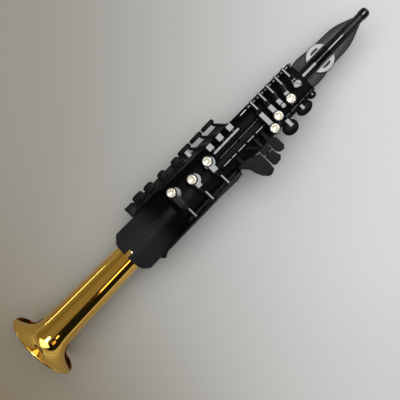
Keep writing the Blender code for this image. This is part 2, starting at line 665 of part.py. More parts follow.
def make_neck(shop):
    """Neck plate, tube with its breath bore and end barrel, ring brace halves and ribbed saddle."""
    plate = prism(plate_outline(), PLATE_BOTTOM, PLATE_TOP)
    rim = [e for e in plate.edges if all(v.co.z > PLATE_TOP - 0.01 * MM for v in e.verts)]
    bmesh.ops.bevel(plate, geom=rim, offset=1.6 * MM, segments=2, profile=0.5, affect="EDGES", material=-1)
    groove = rod_along_x(BODY_END - 5 * MM, PLATE_END + 5 * MM, 0, 0, NECK_TUBE_RADIUS + GAP, 24)
    shop.place("neck_plate", cut(plate, groove), "plate")

    inner_end = BODY_END - NECK_INSIDE_LENGTH
    profile = [(inner_end, NECK_BORE_RADIUS), (inner_end, NECK_TUBE_RADIUS),
               (NECK_SHOULDER - 3 * MM, NECK_TUBE_RADIUS),
               (NECK_SHOULDER - 1.5 * MM, NECK_TUBE_RADIUS - 0.7 * MM), (NECK_SHOULDER,
                                                                         NECK_TUBE_RADIUS - 0.7 * MM),
               (NECK_SHOULDER + 0.5 * MM, NECK_TIP_RADIUS), (NECK_TIP - 5.5 * MM, NECK_TIP_RADIUS),
               (NECK_TIP - 3.0 * MM, NECK_TIP_RADIUS - 0.8 * MM), (NECK_TIP - 1.2 * MM,
                                                                   NECK_TIP_RADIUS - 2.0 * MM),
               (NECK_TIP, NECK_TIP_RADIUS - 3.2 * MM),
               (NECK_TIP, NECK_BORE_RADIUS)]
    shop.place("neck_tube", turned(profile, 24), "gloss")

    z_low = PLATE_TOP + GAP
    for name, sign in (("ring_brace_right", 1), ("ring_brace_left", -1)):
        brace = disc(BRACE_CENTRE, 0, z_low, z_low + BRACE_THICKNESS, BRACE_RADIUS, 40,
                     BRACE_RADIUS - BRACE_EDGE)
        keep = NECK_TUBE_RADIUS + SADDLE_WALL + SADDLE_RIB_HEIGHT + 2 * GAP
        away = box((BRACE_CENTRE - 2 * BRACE_RADIUS, -2 * BRACE_RADIUS * sign, z_low - 5 * MM),
                   (BRACE_CENTRE + 2 * BRACE_RADIUS, keep * sign, z_low + 10 * MM))
        if sign < 0:
            away = box((BRACE_CENTRE - 2 * BRACE_RADIUS, -keep, z_low - 5 * MM),
                       (BRACE_CENTRE + 2 * BRACE_RADIUS, 2 * BRACE_RADIUS, z_low + 10 * MM))
        slot = prism(arched_slot(BRACE_CENTRE, sign), z_low - 5 * MM, z_low + 10 * MM)
        shop.place(name, cut(brace, away, slot), "silver")

    start = BRACE_CENTRE + SADDLE_SHIFT - SADDLE_LENGTH / 2
    end = start + SADDLE_LENGTH
    shell = rod_along_x(start, end, 0, 0, NECK_TUBE_RADIUS + GAP + SADDLE_WALL, 16)
    pitch = SADDLE_LENGTH / SADDLE_RIBS
    ribs = [rod_along_x(start + pitch * (k + 0.25), start + pitch * (k + 0.75), 0, 0,
                        NECK_TUBE_RADIUS + GAP + SADDLE_WALL + SADDLE_RIB_HEIGHT, 16) for k in range(SADDLE_RIBS)]
    saddle = join(shell, *ribs)
    bore = rod_along_x(start - 5 * MM, end + 5 * MM, 0, 0, NECK_TUBE_RADIUS + GAP, 24)
    below = box((start - 5 * MM, -15 * MM, -15 * MM), (end + 5 * MM, 15 * MM, PLATE_TOP + GAP))
    shop.place("neck_saddle", cut(saddle, bore, below), "rubber")


# ---------------------------------------------------------------- keys

def bored(bm, x_low, x_high, y, z):
    """Cut the running bore for the hinge rod."""
    return cut(bm, rod_along_x(x_low - 3 * MM, x_high + 3 * MM, y, z, ROD_RADIUS + ROD_PLAY))


def pearl_seat(x, y):
    """The ring that holds a pearl on top of a cup."""
    return disc(x, y, CUP_TOP - 0.5 * MM, CUP_TOP + HOLDER_HEIGHT, PEARL_RADIUS + GAP + HOLDER_WALL, 18)


def make_pearl(shop, name, x, y, key):
    """The dished touch that lies in the ring, its foot just clear of the seat."""
    z = CUP_TOP + HOLDER_HEIGHT - PEARL_SEAT_DEPTH + GAP
    sides = 18
    rows = []
    for radius, height in ((PEARL_RADIUS, 0.0),
                           (PEARL_RADIUS, PEARL_HEIGHT - 0.7 * MM), (PEARL_RADIUS - 0.8 * MM, PEARL_HEIGHT),
                           (PEARL_RADIUS * 0.55, PEARL_HEIGHT - PEARL_HOLLOW * 0.75),
                           (PEARL_RADIUS * 0.2, PEARL_HEIGHT - PEARL_HOLLOW)):
        rows.append([(x + radius * math.cos(2 * math.pi * i / sides),
                      y + radius * math.sin(2 * math.pi * i / sides),
                      z + height) for i in range(sides)])
    shop.place(name, skin(rows), "pearl", (x, y, z), parent=key)


def make_finger_key(shop, name, x_low, x_high, arm_x, rod, pearl, cup, cup_radius, arm_width):
    """A key of a stack: hinge tube, arm over the body, round cup and the ring for its pearl."""
    rod_y, rod_z = rod
    toward = 1 if cup[1] > rod_y else -1
    arm_middle = ARM_TOP - ARM_THICKNESS / 2
    tube = rod_along_x(x_low, x_high, rod_y, rod_z, TUBE_RADIUS)
    arm = swept_bar([(arm_x, rod_y - toward * 1.0 * MM, rod_z + 0.6 * MM),
                     (arm_x, rod_y + toward * 5.0 * MM, arm_middle - 1.2 * MM),
                     (arm_x, rod_y + toward * 9.0 * MM, arm_middle),
                     (cup[0], cup[1], arm_middle)],
                    [arm_width] * 4, ARM_THICKNESS)
    plate = disc(cup[0], cup[1], CUP_TOP - CUP_THICKNESS, CUP_TOP, cup_radius, 18)
    key = join(tube, arm, plate, pearl_seat(*pearl))
    recess = disc(pearl[0], pearl[1], CUP_TOP + HOLDER_HEIGHT - PEARL_SEAT_DEPTH, CUP_TOP + 10 * MM,
                  PEARL_RADIUS + GAP, 18)
    key = bored(cut(key, recess), x_low, x_high, rod_y, rod_z)
    piece = shop.place(name, key, "key", (arm_x, rod_y, rod_z))
    make_pearl(shop, name.replace("key", "pearl"), pearl[0], pearl[1], piece)


def make_stacks(shop):
    """The six pearl keys, with bis and front F of the left hand."""
    right = (RIGHT_STACK_Y, RIGHT_STACK_Z)
    left = (LEFT_STACK_Y, LEFT_STACK_Z)
    finger = [
        ("key_d", 262.2, 284.3, 270.0, right, (269.7, 17.0), (270.6, 13.2)),
        ("key_e", 287.7, 316.3, 302.0, right, (301.0, 9.8), (302.0, 7.4)),
        ("key_f", 319.7, 345.8, 331.5, right, (331.9, 11.8), (331.2, 9.6)),
        ("key_g", 420.2, 434.1, 428.0, left, (424.9, -21.5), (424.9, -21.5)),
        ("key_a", 437.5, 449.3, 443.4, left, (439.9, -13.7), (439.9, -13.7)),
        ("key_b", 467.7, 479.3, 473.4, left, (467.3, -9.7), (467.3, -9.7)),
    ]
    for name, low, high, arm_x, rod, pearl, cup in finger:
        make_finger_key(shop, name, low * MM, high * MM, arm_x * MM, rod, [v * MM for v in pearl],
                        [v * MM for v in cup], *((CUP_RADIUS, RIGHT_ARM_WIDTH) if rod == right
                                                 else (LEFT_CUP_RADIUS, LEFT_ARM_WIDTH)))
    make_small_key(shop, "key_bis", 452.7, 464.3, 458.0, (454.0, -9.0), 4.2)
    make_small_key(shop, "key_front_f", 482.7, 495.8, 488.0, (487.0, -2.2), 6.8)


def make_small_key(shop, name, low, high, arm_x, touch, radius):
    """A left-hand key whose round touch carries no pearl."""
    y, z = LEFT_STACK_Y, LEFT_STACK_Z
    low, high, arm_x, radius = low * MM, high * MM, arm_x * MM, radius * MM
    touch = [v * MM for v in touch]
    middle = ARM_TOP - ARM_THICKNESS / 2
    tube = rod_along_x(low, high, y, z, TUBE_RADIUS)
    arm = swept_bar([(arm_x, y + 1.0 * MM, z + 0.6 * MM), (arm_x, y - 5.0 * MM, middle - 1.2 * MM),
                     (arm_x, y - 9.0 * MM, middle), (touch[0], touch[1], middle)],
                    [LEFT_ARM_WIDTH] * 4, ARM_THICKNESS)
    button = disc(touch[0], touch[1], ARM_TOP - ARM_THICKNESS, ARM_TOP + 2.4 * MM, radius, 20,
                  radius - 0.8 * MM)
    key = bored(join(tube, arm, button), low, high, y, z)
    shop.place(name, key, "key", (arm_x, y, z))


def make_side_keys(shop):
    """Side keys for the right hand: slanted arms from the middle rod to arched touches past the body's edge."""
    y, z = SIDE_ROD_Y, SIDE_ROD_Z
    keys = [("side_key_b_flat", 346.2, 359.8, 348.2, 312.7, 332.6),
            ("side_key_c", 360.4, 375.8, 366.5, 335.6, 354.4),
            ("side_key_e", 376.4, 392.4, 385.2, 357.4, 377.0)]
    for name, low, high, arm_x, touch_low, touch_high in keys:
        low, high, arm_x, touch_low, touch_high = [v * MM for v in (low, high, arm_x, touch_low, touch_high)]
        tube = rod_along_x(low, high, y, z, TUBE_RADIUS)
        strip = box((low, y - SIDE_STRIP / 2, z), (high, y + SIDE_STRIP / 2, z + TUBE_RADIUS + 0.1 * MM))
        pad = box((arm_x - SIDE_PAD / 2, y + 5.2 * MM, z - 1.0 * MM),
                  (arm_x + SIDE_PAD / 2, y + 14.0 * MM, z + 1.6 * MM))
        neck_x = max(arm_x, low + 3.4 * MM)
        neck = box((neck_x - 2.6 * MM, y + 1.0 * MM, z - 0.8 * MM), (neck_x + 2.6 * MM, y + 6.0 * MM, z + 1.3 * MM))
        end_x = touch_high - 4.0 * MM
        arm = swept_bar([(arm_x, y + 11 * MM, z + 0.2 * MM), (arm_x - 2 * MM, y + 15 * MM, z - 0.2 * MM),
                         (end_x + 5 * MM, 35 * MM, 17.5 * MM), (end_x + 1 * MM, 39.5 * MM, 15 * MM),
                         (end_x, SIDE_TOUCH_Y, 12.5 * MM)], [6 * MM, 5 * MM, 4.6 * MM, 4.6 * MM,
                                                             5 * MM], 2.4 * MM)
        middle_x = (touch_low + touch_high) / 2
        touch = swept_bar([(touch_low, SIDE_TOUCH_Y, 9.5 * MM),
                           (touch_low + 2.5 * MM, SIDE_TOUCH_Y, 12.5 * MM),
                           (middle_x, SIDE_TOUCH_Y, 14.0 * MM), (touch_high - 2.5 * MM, SIDE_TOUCH_Y,
                                                                 12.8 * MM),
                           (touch_high, SIDE_TOUCH_Y, 10.5 * MM)],
                          [SIDE_TOUCH_WIDTH - 1 * MM, *[SIDE_TOUCH_WIDTH] * 3,
                           SIDE_TOUCH_WIDTH - 1 * MM], 2.6 * MM)
        solids = [strip, neck, pad, arm, touch]
        if name == "side_key_b_flat":
            solids.append(box((touch_low + 5.5 * MM, 33.5 * MM, 11.0 * MM),
                              (touch_low + 12.5 * MM, SIDE_TOUCH_Y, 13.0 * MM)))
        key = bored(join(tube, *solids), low, high, y, z)
        shop.place(name, key, "key", (arm_x, y, z))


def lug(x, y, z, wall_y):
    """A flat ear that rises from the guard's strip to the low rod."""
    head = POST_HEAD_RADIUS - 0.2 * MM
    outline = [(wall_y + 0.1 * MM, 0.0), (y + 1.5 * MM, 0.0), (y + head, z)]
    outline += [(y + head * math.cos(angle), z + head * math.sin(angle))
                for angle in [math.radians(30 + 120 * i / 4) for i in range(5)]]
    outline += [(wall_y + 0.1 * MM, z * 0.6)]
    return skin([[(x + side * POST_WIDTH / 2, across, up) for across, up in outline] for side in (-1, 1)])


def make_low_side_keys(shop):
    """Guard with lugs on the right of the body, its rod, and the four keys with matte touches."""
    y, z = LOW_ROD_Y, LOW_ROD_Z
    wall_y = LOW_HALF_WIDTH + GAP
    inner = wall_line([391.0 * MM, BODY_WAIST, BODY_STEP + 3 * MM, BODY_STEP - 3 * MM, GUARD_START], 1)
    shelf = prism(inner + [(GUARD_START, GUARD_REACH), (222.0 * MM, GUARD_REACH), (224.5 * MM, 45.2 * MM),
                           (318.5 * MM, 45.2 * MM), (320.5 * MM, 36.5 * MM), (377.0 * MM, 37.5 * MM)],
                  -3.0 * MM, 1.5 * MM)
    fin = box((GUARD_START, wall_y, -2.0 * MM), (GUARD_START + 2.2 * MM, GUARD_REACH, 12.0 * MM))
    lugs = [lug(x, y, z, wall_y) for x in LOW_LUGS]
    guard = join(shelf, fin, *lugs)
    guard = cut(guard, rod_along_x(LOW_LUGS[0] - 4 * MM, LOW_LUGS[-1] + 4 * MM, y, z, ROD_RADIUS + GAP))
    shop.place("right_side_guard", guard, "body")
    rod = rod_along_x(LOW_LUGS[0] - ROD_STICK_OUT, LOW_LUGS[-1] + ROD_STICK_OUT, y, z, ROD_RADIUS)
    shop.place("low_side_rod", rod, "steel")
    keys = [("low_c_key", 226.6, 243.4, 226.0, 243.8, 50.5, 13.5),
            ("low_e_flat_key", 246.6, 263.9, 246.2, 261.6, 49.8, 13.0),
            ("alternate_f_sharp_key", 267.1, 289.4, 271.4, 284.6, 48.8, 12.0),
            ("high_f_sharp_key", 292.6, 309.9, 296.6, 309.8, 48.0, 11.5)]
    for name, low, high, touch_low, touch_high, edge, top in keys:
        low, high, touch_low, touch_high, edge, top = [v * MM for v in (low, high, touch_low, touch_high,
                                                                        edge, top)]
        tube = rod_along_x(low, high, y, z, TUBE_RADIUS)
        middle_x = (touch_low + touch_high) / 2
        pad = prism(oval(middle_x, edge - LOW_TOUCH_WIDTH / 2, touch_high - touch_low, LOW_TOUCH_WIDTH,
                         4.0 * MM, 3),
                    top - 4 * MM, top)
        rim = [e for e in pad.edges if all(v.co.z > top - 0.01 * MM for v in e.verts)]
        bmesh.ops.bevel(pad, geom=rim, offset=1.3 * MM, segments=2, profile=0.5, affect="EDGES", material=-1)
        arm = swept_bar([(middle_x, y, z + 0.8 * MM), (middle_x, 40.5 * MM, top - 2.0 * MM)],
                        [8 * MM, 8 * MM], 2.4 * MM)
        shop.place(name, bored(join(tube, arm, pad), low, high, y, z), "rubber", (middle_x, y, z))


def make_table_keys(shop):
    """Little-finger table of the left hand: G sharp, low C sharp, low B and the long low B flat touch."""
    y, z = TABLE_ROD_Y, TABLE_ROD_Z
    plans = [
        ("g_sharp_key", 403.0, 416.3, 410.0, 21.5,
         [(405.4, -24), (405.4, -43.5), (408.8, -48.4), (415.5, -49.4), (419.4, -45), (419.4, -31.5),
          (416.4, -28),
          (414.2, -25)]),
        ("low_c_sharp_key", 387.0, 399.7, 397.0, 21.5,
         [(390.2, -26.5), (390.2, -37.4), (404.6, -37.4), (404.6, -26.5)]),
        ("low_b_flat_key", 342.8, 366.8, 363.8, 20.5,
         [(353.0, -23.0), (364.2, -36.5), (366.2, -45.0), (370.0, -54.0), (375.5, -60.0), (380.0, -61.6),
          (387.2, -58.5), (388.6, -50.0), (388.6, -30.5), (381.0, -28.0), (372.0, -23.0)]),
    ]
    for name, low, high, arm_x, top, outline in plans:
        low, high, arm_x, top = low * MM, high * MM, arm_x * MM, top * MM
        outline = [(px * MM, py * MM) for px, py in outline]
        tube = rod_along_x(low, high, y, z, TUBE_RADIUS)
        pad = prism(outline, top - 3.2 * MM, top)
        rim = [e for e in pad.edges if all(v.co.z > top - 0.01 * MM for v in e.verts)]
        bmesh.ops.bevel(pad, geom=rim, offset=1.0 * MM, segments=2, profile=0.5, affect="EDGES", material=-1)
        reach_x = max(arm_x, outline[0][0] + 3.5 * MM)
        arm = swept_bar([(arm_x, y + 1 * MM, z + 0.4 * MM), (arm_x, y - 6 * MM, top - 1.4 * MM),
                         (reach_x, outline[0][1] - 3.5 * MM, top - 1.6 * MM)], [5.5 * MM, 5.5 * MM,
                                                                                5.5 * MM], 2.4 * MM)
        shop.place(name, bored(join(tube, arm, pad), low, high, y, z), "key", (arm_x, y, z))
    make_low_b_key(shop)


def make_low_b_key(shop):
    """Low B: its arm passes under the low C sharp touch and comes up again outside it."""
    y, z = TABLE_ROD_Y, TABLE_ROD_Z
    low, high, arm_x = 370.0 * MM, 383.8 * MM, 380.5 * MM
    tube = rod_along_x(low, high, y, z, TUBE_RADIUS)
    arm = swept_bar([(arm_x, y + 1 * MM, z - 0.6 * MM), (arm_x + 1 * MM, y - 5 * MM, 17.4 * MM),
                     (390.0 * MM, -21.0 * MM, 14.6 * MM), (395.0 * MM, -27.0 * MM, 14.2 * MM),
                     (396.5 * MM, -38.5 * MM, 14.2 * MM), (396.8 * MM, -43.5 * MM, 17.5 * MM)],
                    [5 * MM] * 6, 2.2 * MM)
    top = 20.5 * MM
    outline = [(390.2, -38.2), (390.2, -54.0), (393.5, -56.8), (402.5, -55.8), (406.6, -51.5), (404.2, -44.0),
               (404.2, -38.2)]
    pad = prism([(px * MM, py * MM) for px, py in outline], top - 3.8 * MM, top)
    rim = [e for e in pad.edges if all(v.co.z > top - 0.01 * MM for v in e.verts)]
    bmesh.ops.bevel(pad, geom=rim, offset=1.0 * MM, segments=2, profile=0.5, affect="EDGES", material=-1)
    shop.place("low_b_key", bored(join(tube, arm, pad), low, high, y, z), "key", (arm_x, y, z))


def make_palm_keys(shop):
    """Palm keys of the left hand: domed touches that stand out past the body's edge."""
    y, z = PALM_ROD_Y, PALM_ROD_Z
    keys = [("palm_key_e_flat", 430.3, 454.7, 442.5, 12.0, -35.6, 10.2),
            ("palm_key_d", 458.3, 482.7, 474.0, 12.6, -31.4, 8.0),
            ("palm_key_f", 486.3, 498.2, 493.4, 6.2, -26.8, 4.4)]
    for name, low, high, middle_x, half_length, middle_y, half_width in keys:
        low, high, middle_x = low * MM, high * MM, middle_x * MM
        half_length, middle_y, half_width = half_length * MM, middle_y * MM, half_width * MM
        tube = rod_along_x(low, high, y, z, TUBE_RADIUS)
        arm = swept_bar([(middle_x, y + 1 * MM, z + 0.8 * MM), (middle_x, y - 5 * MM, z + 1.0 * MM),
                         (middle_x, middle_y, z + 0.4 * MM)], [9 * MM, 9 * MM, 9 * MM], 2.4 * MM)
        hump = dome(middle_x, middle_y, z - 0.4 * MM, half_length, half_width, 4.2 * MM)
        shop.place(name, bored(join(tube, arm, hump), low, high, y, z), "key", (middle_x, y, z))


# ---------------------------------------------------------------- guards and the back

def make_left_guard(shop):
    """The moulded rail along the left edge, with a stop at its low end and a wide part ahead of the table keys."""
    places = [RAIL_START, BODY_STEP - 3 * MM, BODY_STEP + 3 * MM, BODY_WAIST, RAIL_END]
    inner = wall_line(places, -1)
    outline = inner + [(RAIL_END - 2 * MM, -36.0 * MM), (344.0 * MM, -37.8 * MM), (308.0 * MM, -36.0 * MM),
                       (300.0 * MM, -33.8 * MM), (207.0 * MM, -34.6 * MM), (201.5 * MM, -38.0 * MM),
                       (RAIL_START, -34.0 * MM)]
    web = prism(outline, -8 * MM, 5.0 * MM)
    rim = [e for e in web.edges if all(v.co.z > 4.99 * MM for v in e.verts)]
    bmesh.ops.bevel(web, geom=rim, offset=0.7 * MM, segments=1, profile=0.5, affect="EDGES", material=-1)
    bar = rod_along_x(RAIL_START + 6 * MM, 306.0 * MM, RAIL_Y, RAIL_Z, RAIL_RADIUS, 12)
    ties = [box((x - 1.5 * MM, RAIL_Y - 1.2 * MM, 2 * MM), (x + 1.5 * MM, RAIL_Y + 0.6 * MM, RAIL_Z))
            for x in (206.0 * MM, 240.0 * MM, 272.0 * MM, 303.0 * MM)]
    shop.place("left_side_guard", join(web, bar, *ties), "body")


def make_thumb_hook(shop):
    """The right thumb's hook, which slides along its base plate, and reaches down to the rest plane."""
    top = -BACK_DEPTH - GAP
    base = box((HOOK_X - HOOK_BASE_LENGTH / 2, -HOOK_BASE_WIDTH / 2, top - HOOK_BASE_THICKNESS),
               (HOOK_X + HOOK_BASE_LENGTH / 2, HOOK_BASE_WIDTH / 2, top))
    rail = box((HOOK_X - HOOK_BASE_LENGTH / 2, -HOOK_RAIL_WIDTH / 2, top - HOOK_BASE_THICKNESS - 1.6 * MM),
               (HOOK_X + HOOK_BASE_LENGTH / 2, HOOK_RAIL_WIDTH / 2, top - 0.5 * MM))
    shop.place("thumb_hook_base", join(base, rail), "steel")
    seat = top - HOOK_BASE_THICKNESS - GAP
    floor = -rest_depth()
    back = HOOK_X - HOOK_LENGTH / 2
    outline = [(back, seat), (back + HOOK_LENGTH * 0.8, seat),
               (back + HOOK_LENGTH * 0.8, seat - HOOK_THICKNESS),
               (back + HOOK_THICKNESS * 1.6, seat - HOOK_THICKNESS - 0.6 * MM),
               (back + HOOK_THICKNESS, seat - HOOK_THICKNESS - 2.2 * MM),
               (back + HOOK_THICKNESS, floor + HOOK_THICKNESS + 1.2 * MM),
               (back + HOOK_THICKNESS + 1.6 * MM, floor + HOOK_THICKNESS),
               (back + HOOK_LENGTH, floor + HOOK_THICKNESS), (back + HOOK_LENGTH, floor + 0.8 * MM),
               (back + HOOK_LENGTH - 0.8 * MM, floor), (back + 2.4 * MM, floor), (back, floor + 2.4 * MM)]
    hook = side_prism(outline, -HOOK_WIDTH / 2, HOOK_WIDTH / 2)
    channel = box((back - 5 * MM, -HOOK_RAIL_WIDTH / 2 - GAP, seat - 1.6 * MM - 2 * GAP + GAP),
                  (back + HOOK_LENGTH + 5 * MM, HOOK_RAIL_WIDTH / 2 + GAP, seat + 5 * MM))
    shop.place("thumb_hook", cut(hook, channel), "gloss", (HOOK_X, 0, seat))


def make_back_fittings(shop):
    """Strap ring, thumb rest, octave key and the three buttons."""
    top = -BACK_DEPTH - GAP
    base = box((STRAP_RING_X - STRAP_BASE_SIZE / 2, -STRAP_BASE_SIZE / 2, top - STRAP_BASE_THICKNESS),
               (STRAP_RING_X + STRAP_BASE_SIZE / 2, STRAP_BASE_SIZE / 2, top))
    ring_z = top - STRAP_BASE_THICKNESS - STRAP_RING_RADIUS + 1.2 * MM
    ring = [(STRAP_RING_X + STRAP_RING_RADIUS * math.cos(2 * math.pi * i / 24),
             ring_z + STRAP_RING_RADIUS * math.sin(2 * math.pi * i / 24)) for i in range(24)]
    hole = [(STRAP_RING_X + STRAP_RING_HOLE * math.cos(2 * math.pi * i / 20),
             ring_z + STRAP_RING_HOLE * math.sin(2 * math.pi * i / 20)) for i in range(20)]
    half = STRAP_RING_THICKNESS / 2
    eye = join(base, side_prism(ring, -half, half))
    shop.place("strap_ring", cut(eye, side_prism(hole, -10 * MM, 10 * MM)), "steel")

    rest = disc(THUMB_REST_X, 0, top - THUMB_REST_HEIGHT, top,
                THUMB_REST_RADIUS - 1.5 * MM, 24, THUMB_REST_RADIUS)
    shop.place("thumb_rest", rest, "rubber")

    foot_z = top - OCTAVE_FOOT_THICKNESS
    pivot_x, pivot_z = THUMB_REST_X + OCTAVE_REACH, foot_z - TUBE_RADIUS - 2 * GAP
    ears = [box((pivot_x - 2.4 * MM, s * 6.6 * MM - 1.2 * MM, pivot_z - 2.4 * MM),
                (pivot_x + 2.4 * MM, s * 6.6 * MM + 1.2 * MM, top - 0.5 * MM)) for s in (-1, 1)]
    foot = box((pivot_x - 6 * MM, -9 * MM, foot_z), (pivot_x + 6 * MM, 9 * MM, top))
    pin = rod_along_y(pivot_x, -7.5 * MM, 7.5 * MM, pivot_z, ROD_RADIUS)
    shop.place("octave_key_mount", join(foot, *ears, pin), "steel")
    lever = swept_bar([(pivot_x + 0.5 * MM, 0, pivot_z), (pivot_x - 10 * MM, 0, pivot_z - 2.0 * MM),
                       (THUMB_REST_X + 18 * MM, 0, pivot_z - 2.4 * MM), (THUMB_REST_X + 11.5 * MM, 0,
                                                                         pivot_z - 1.2 * MM)],
                      [9 * MM, 9 * MM, 15 * MM, 15 * MM], 2.2 * MM)
    barrel = rod_along_y(pivot_x, -4.9 * MM, 4.9 * MM, pivot_z, TUBE_RADIUS)
    lever = cut(join(barrel, lever), rod_along_y(pivot_x, -12 * MM, 12 * MM, pivot_z, ROD_RADIUS + ROD_PLAY))
    shop.place("octave_key", lever, "key", (pivot_x, 0, pivot_z))

    for name, k in (("power_button", -1), ("volume_down_button", 0), ("volume_up_button", 1)):
        x = BUTTON_X + BUTTON_PITCH * k
        outside = -BACK_DEPTH + 0.6 * MM
        cap = disc(x, 0, outside - BUTTON_HEIGHT, outside + 1.2 * MM, BUTTON_RADIUS, 16)
        flange = disc(x, 0, -BACK_DEPTH + BODY_WALL + 0.9 * MM, -BACK_DEPTH + BODY_WALL + 2.1 * MM,
                      BUTTON_RADIUS + 1.0 * MM, 16)
        stem = disc(x, 0, outside, -BACK_DEPTH + BODY_WALL + 1.5 * MM, BUTTON_RADIUS - 0.4 * MM, 12)
        shop.place(name, join(cap, stem, flange), "rubber", (x, 0, outside))


def rod_along_y(x, y_low, y_high, z, radius, sides=10):
    """A round bar along Y."""
    turn = math.pi / sides
    return side_prism([(x + radius * math.cos(turn + 2 * math.pi * i / sides),
                        z + radius * math.sin(turn + 2 * math.pi * i / sides)) for i in range(sides)], y_low, y_high)


def main():
    for item in list(bpy.data.objects):
        bpy.data.objects.remove(item)
    shop = Workshop()
    make_bell(shop)
    make_bell_collar(shop)
    make_front_cover(shop)
    make_rods(shop)
    make_back_cover(shop)
    make_battery_bay(shop)
    make_inner_pieces(shop)
    make_neck(shop)
    make_stacks(shop)
    make_side_keys(shop)
    make_low_side_keys(shop)
    make_table_keys(shop)
    make_palm_keys(shop)
    make_left_guard(shop)
    make_thumb_hook(shop)
    make_back_fittings(shop)
    shop.stand_on_origin()


main()
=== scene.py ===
"""Looks of an electronic soprano saxophone: lacquered brass, gloss keywork, pearl touches and satin covers."""

import json
import math
from collections import namedtuple

import bmesh
import bpy
from mathutils import Matrix, Vector


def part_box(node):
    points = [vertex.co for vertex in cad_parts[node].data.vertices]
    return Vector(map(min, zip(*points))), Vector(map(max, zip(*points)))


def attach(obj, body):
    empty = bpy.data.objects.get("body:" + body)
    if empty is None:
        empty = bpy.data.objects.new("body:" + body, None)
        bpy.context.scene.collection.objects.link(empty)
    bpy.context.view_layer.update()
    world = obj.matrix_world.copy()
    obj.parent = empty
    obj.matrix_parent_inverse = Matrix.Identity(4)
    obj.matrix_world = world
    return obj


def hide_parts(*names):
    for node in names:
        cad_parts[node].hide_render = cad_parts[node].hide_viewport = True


bl_info = {
    "name": "Electronic soprano saxophone",
    "version": (1, 0, 0),
    "blender": (4, 5, 0),
    "location": "View3D > Sidebar > Saxophone",
    "description": "Builds the finished surfaces of an electronic soprano saxophone on its fixed frame",
    "category": "Add Mesh",
}

MM = 0.001
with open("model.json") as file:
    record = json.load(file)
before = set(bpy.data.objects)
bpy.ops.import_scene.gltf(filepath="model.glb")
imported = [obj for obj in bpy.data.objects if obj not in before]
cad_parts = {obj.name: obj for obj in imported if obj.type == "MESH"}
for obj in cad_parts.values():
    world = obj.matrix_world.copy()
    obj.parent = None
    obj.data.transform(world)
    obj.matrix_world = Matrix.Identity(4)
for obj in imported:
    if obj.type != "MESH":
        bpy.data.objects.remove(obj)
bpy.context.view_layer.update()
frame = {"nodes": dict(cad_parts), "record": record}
BELL_LOW, BELL_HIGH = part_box("bell")
BELL_LENGTH = 186.0
AXIS = Vector((BELL_HIGH.x - BELL_LENGTH * MM, (BELL_LOW.y + BELL_HIGH.y) / 2, (BELL_LOW.z + BELL_HIGH.z) / 2))
BODY_OF = {node: body for body, nodes in frame["record"]["behaviour"]["bodies"].items() for node in nodes}

# Hinge axes as (y, z), and levels over the bell tube's axis, in millimetres.
RIGHT_STACK = (-25.0, 20.0)
LEFT_STACK = (23.0, 20.0)
SIDE_ROD = (12.6, 22.0)
PALM_ROD = (-21.5, 15.5)
TABLE_ROD = (-8.3, 22.0)
TUBE_RADIUS, TUBE_LAND = 2.5, 1.9
STACK_ROD_LAND = (405.5, 418.5)
ARM_TOP = 27.6
CUP_TOP = 27.0
TOUCH_Y = 45.5
BACK_LEVEL = -31.0
GUARD_HOOK, GUARD_SLIM = (204.0, 210.0), 0.26
NECK_STEP = 541.0
CONE_START = 186.3

# Where the front cover's bare end gives way to the keys, and how pale and how deep its satin is there: the pale bare
# end is painted light and the deep tone among the keys is painted shade.
BARE_END, BARE_FADE = 223.0, 18.0
BARE_LIT_TONE, KEY_SHADE_TONE = 2.4, 0.3

# Along x: the tube, the rib at the rod and the flat bar. Then the touch's centre and radius, the bar's width, and y
# where the rib ends and the bar starts.
TopKey = namedtuple("TopKey", "name low high rib_x bar_x touch radius width rib_end bar_start")
FINGER_KEYS = [
    TopKey("key_d", 262.2, 284.3, 270.4, 268.6, (272.0, 12.9), 9.9, 9.6, -13.4, -4.6),
    TopKey("key_e", 287.7, 316.3, 302.2, 301.2, (303.4, 7.1), 9.9, 10.4, -13.4, -4.6),
    TopKey("key_f", 319.7, 345.8, 331.9, 330.8, (332.6, 9.3), 9.9, 10.4, -13.4, -4.8),
    TopKey("key_g", 420.2, 434.1, 427.7, 425.6, (424.9, -21.5), 8.1, 8.0, 11.4, 5.2),
    TopKey("key_a", 437.5, 449.3, 443.4, 441.0, (439.9, -13.7), 8.1, 8.0, 11.4, 4.0),
    TopKey("key_b", 467.7, 479.3, 473.6, 468.6, (467.3, -9.7), 8.1, 8.0, 11.4, 1.6),
]
RIGHT_HAND = ("key_d", "key_e", "key_f")
SMALL_KEYS = [
    TopKey("key_bis", 452.7, 464.3, 457.8, 454.2, (454.0, -9.0), 4.2, 7.4, 11.4, 2.0),
    TopKey("key_front_f", 482.7, 495.8, 488.0, 487.4, (487.0, -2.2), 6.8, 7.4, 11.4, 5.5),
]
# Name; along x: the tube from and to, the arm, the touch from and to.
SIDE_KEYS = [
    ("side_key_b_flat", 346.2, 359.8, 348.2, 312.7, 332.6),
    ("side_key_c", 360.4, 375.8, 366.5, 335.6, 354.4),
    ("side_key_e", 376.4, 392.4, 385.2, 357.4, 377.0),
]
# Name; the tube from and to; the touch's middle and half its length along x, then across; the arm's shift along x.
PALM_KEYS = [
    ("palm_key_e_flat", 430.3, 454.7, 442.5, 12.0, -35.6, 10.2, 2.6),
    ("palm_key_d", 458.3, 482.7, 474.0, 12.6, -31.4, 8.0, -1.8),
    ("palm_key_f", 486.3, 498.2, 493.4, 6.2, -26.8, 4.4, 0.0),
]
# Flat lands on the tubes of the little finger's keys, from and to along x.
TABLE_LANDS = {
    "g_sharp_key": [(403.0, 416.3)],
    "low_c_sharp_key": [(387.0, 399.7)],
    "low_b_key": [(370.0, 383.8)],
    "low_b_flat_key": [(342.8, 356.8), (358.2, 366.8)],
}
# Screws of the back cover, one of each pair on either side of the middle.
COVER_SCREWS = ((186, 18.5), (318, 13), (352, 14), (416, 14), (490, 14))

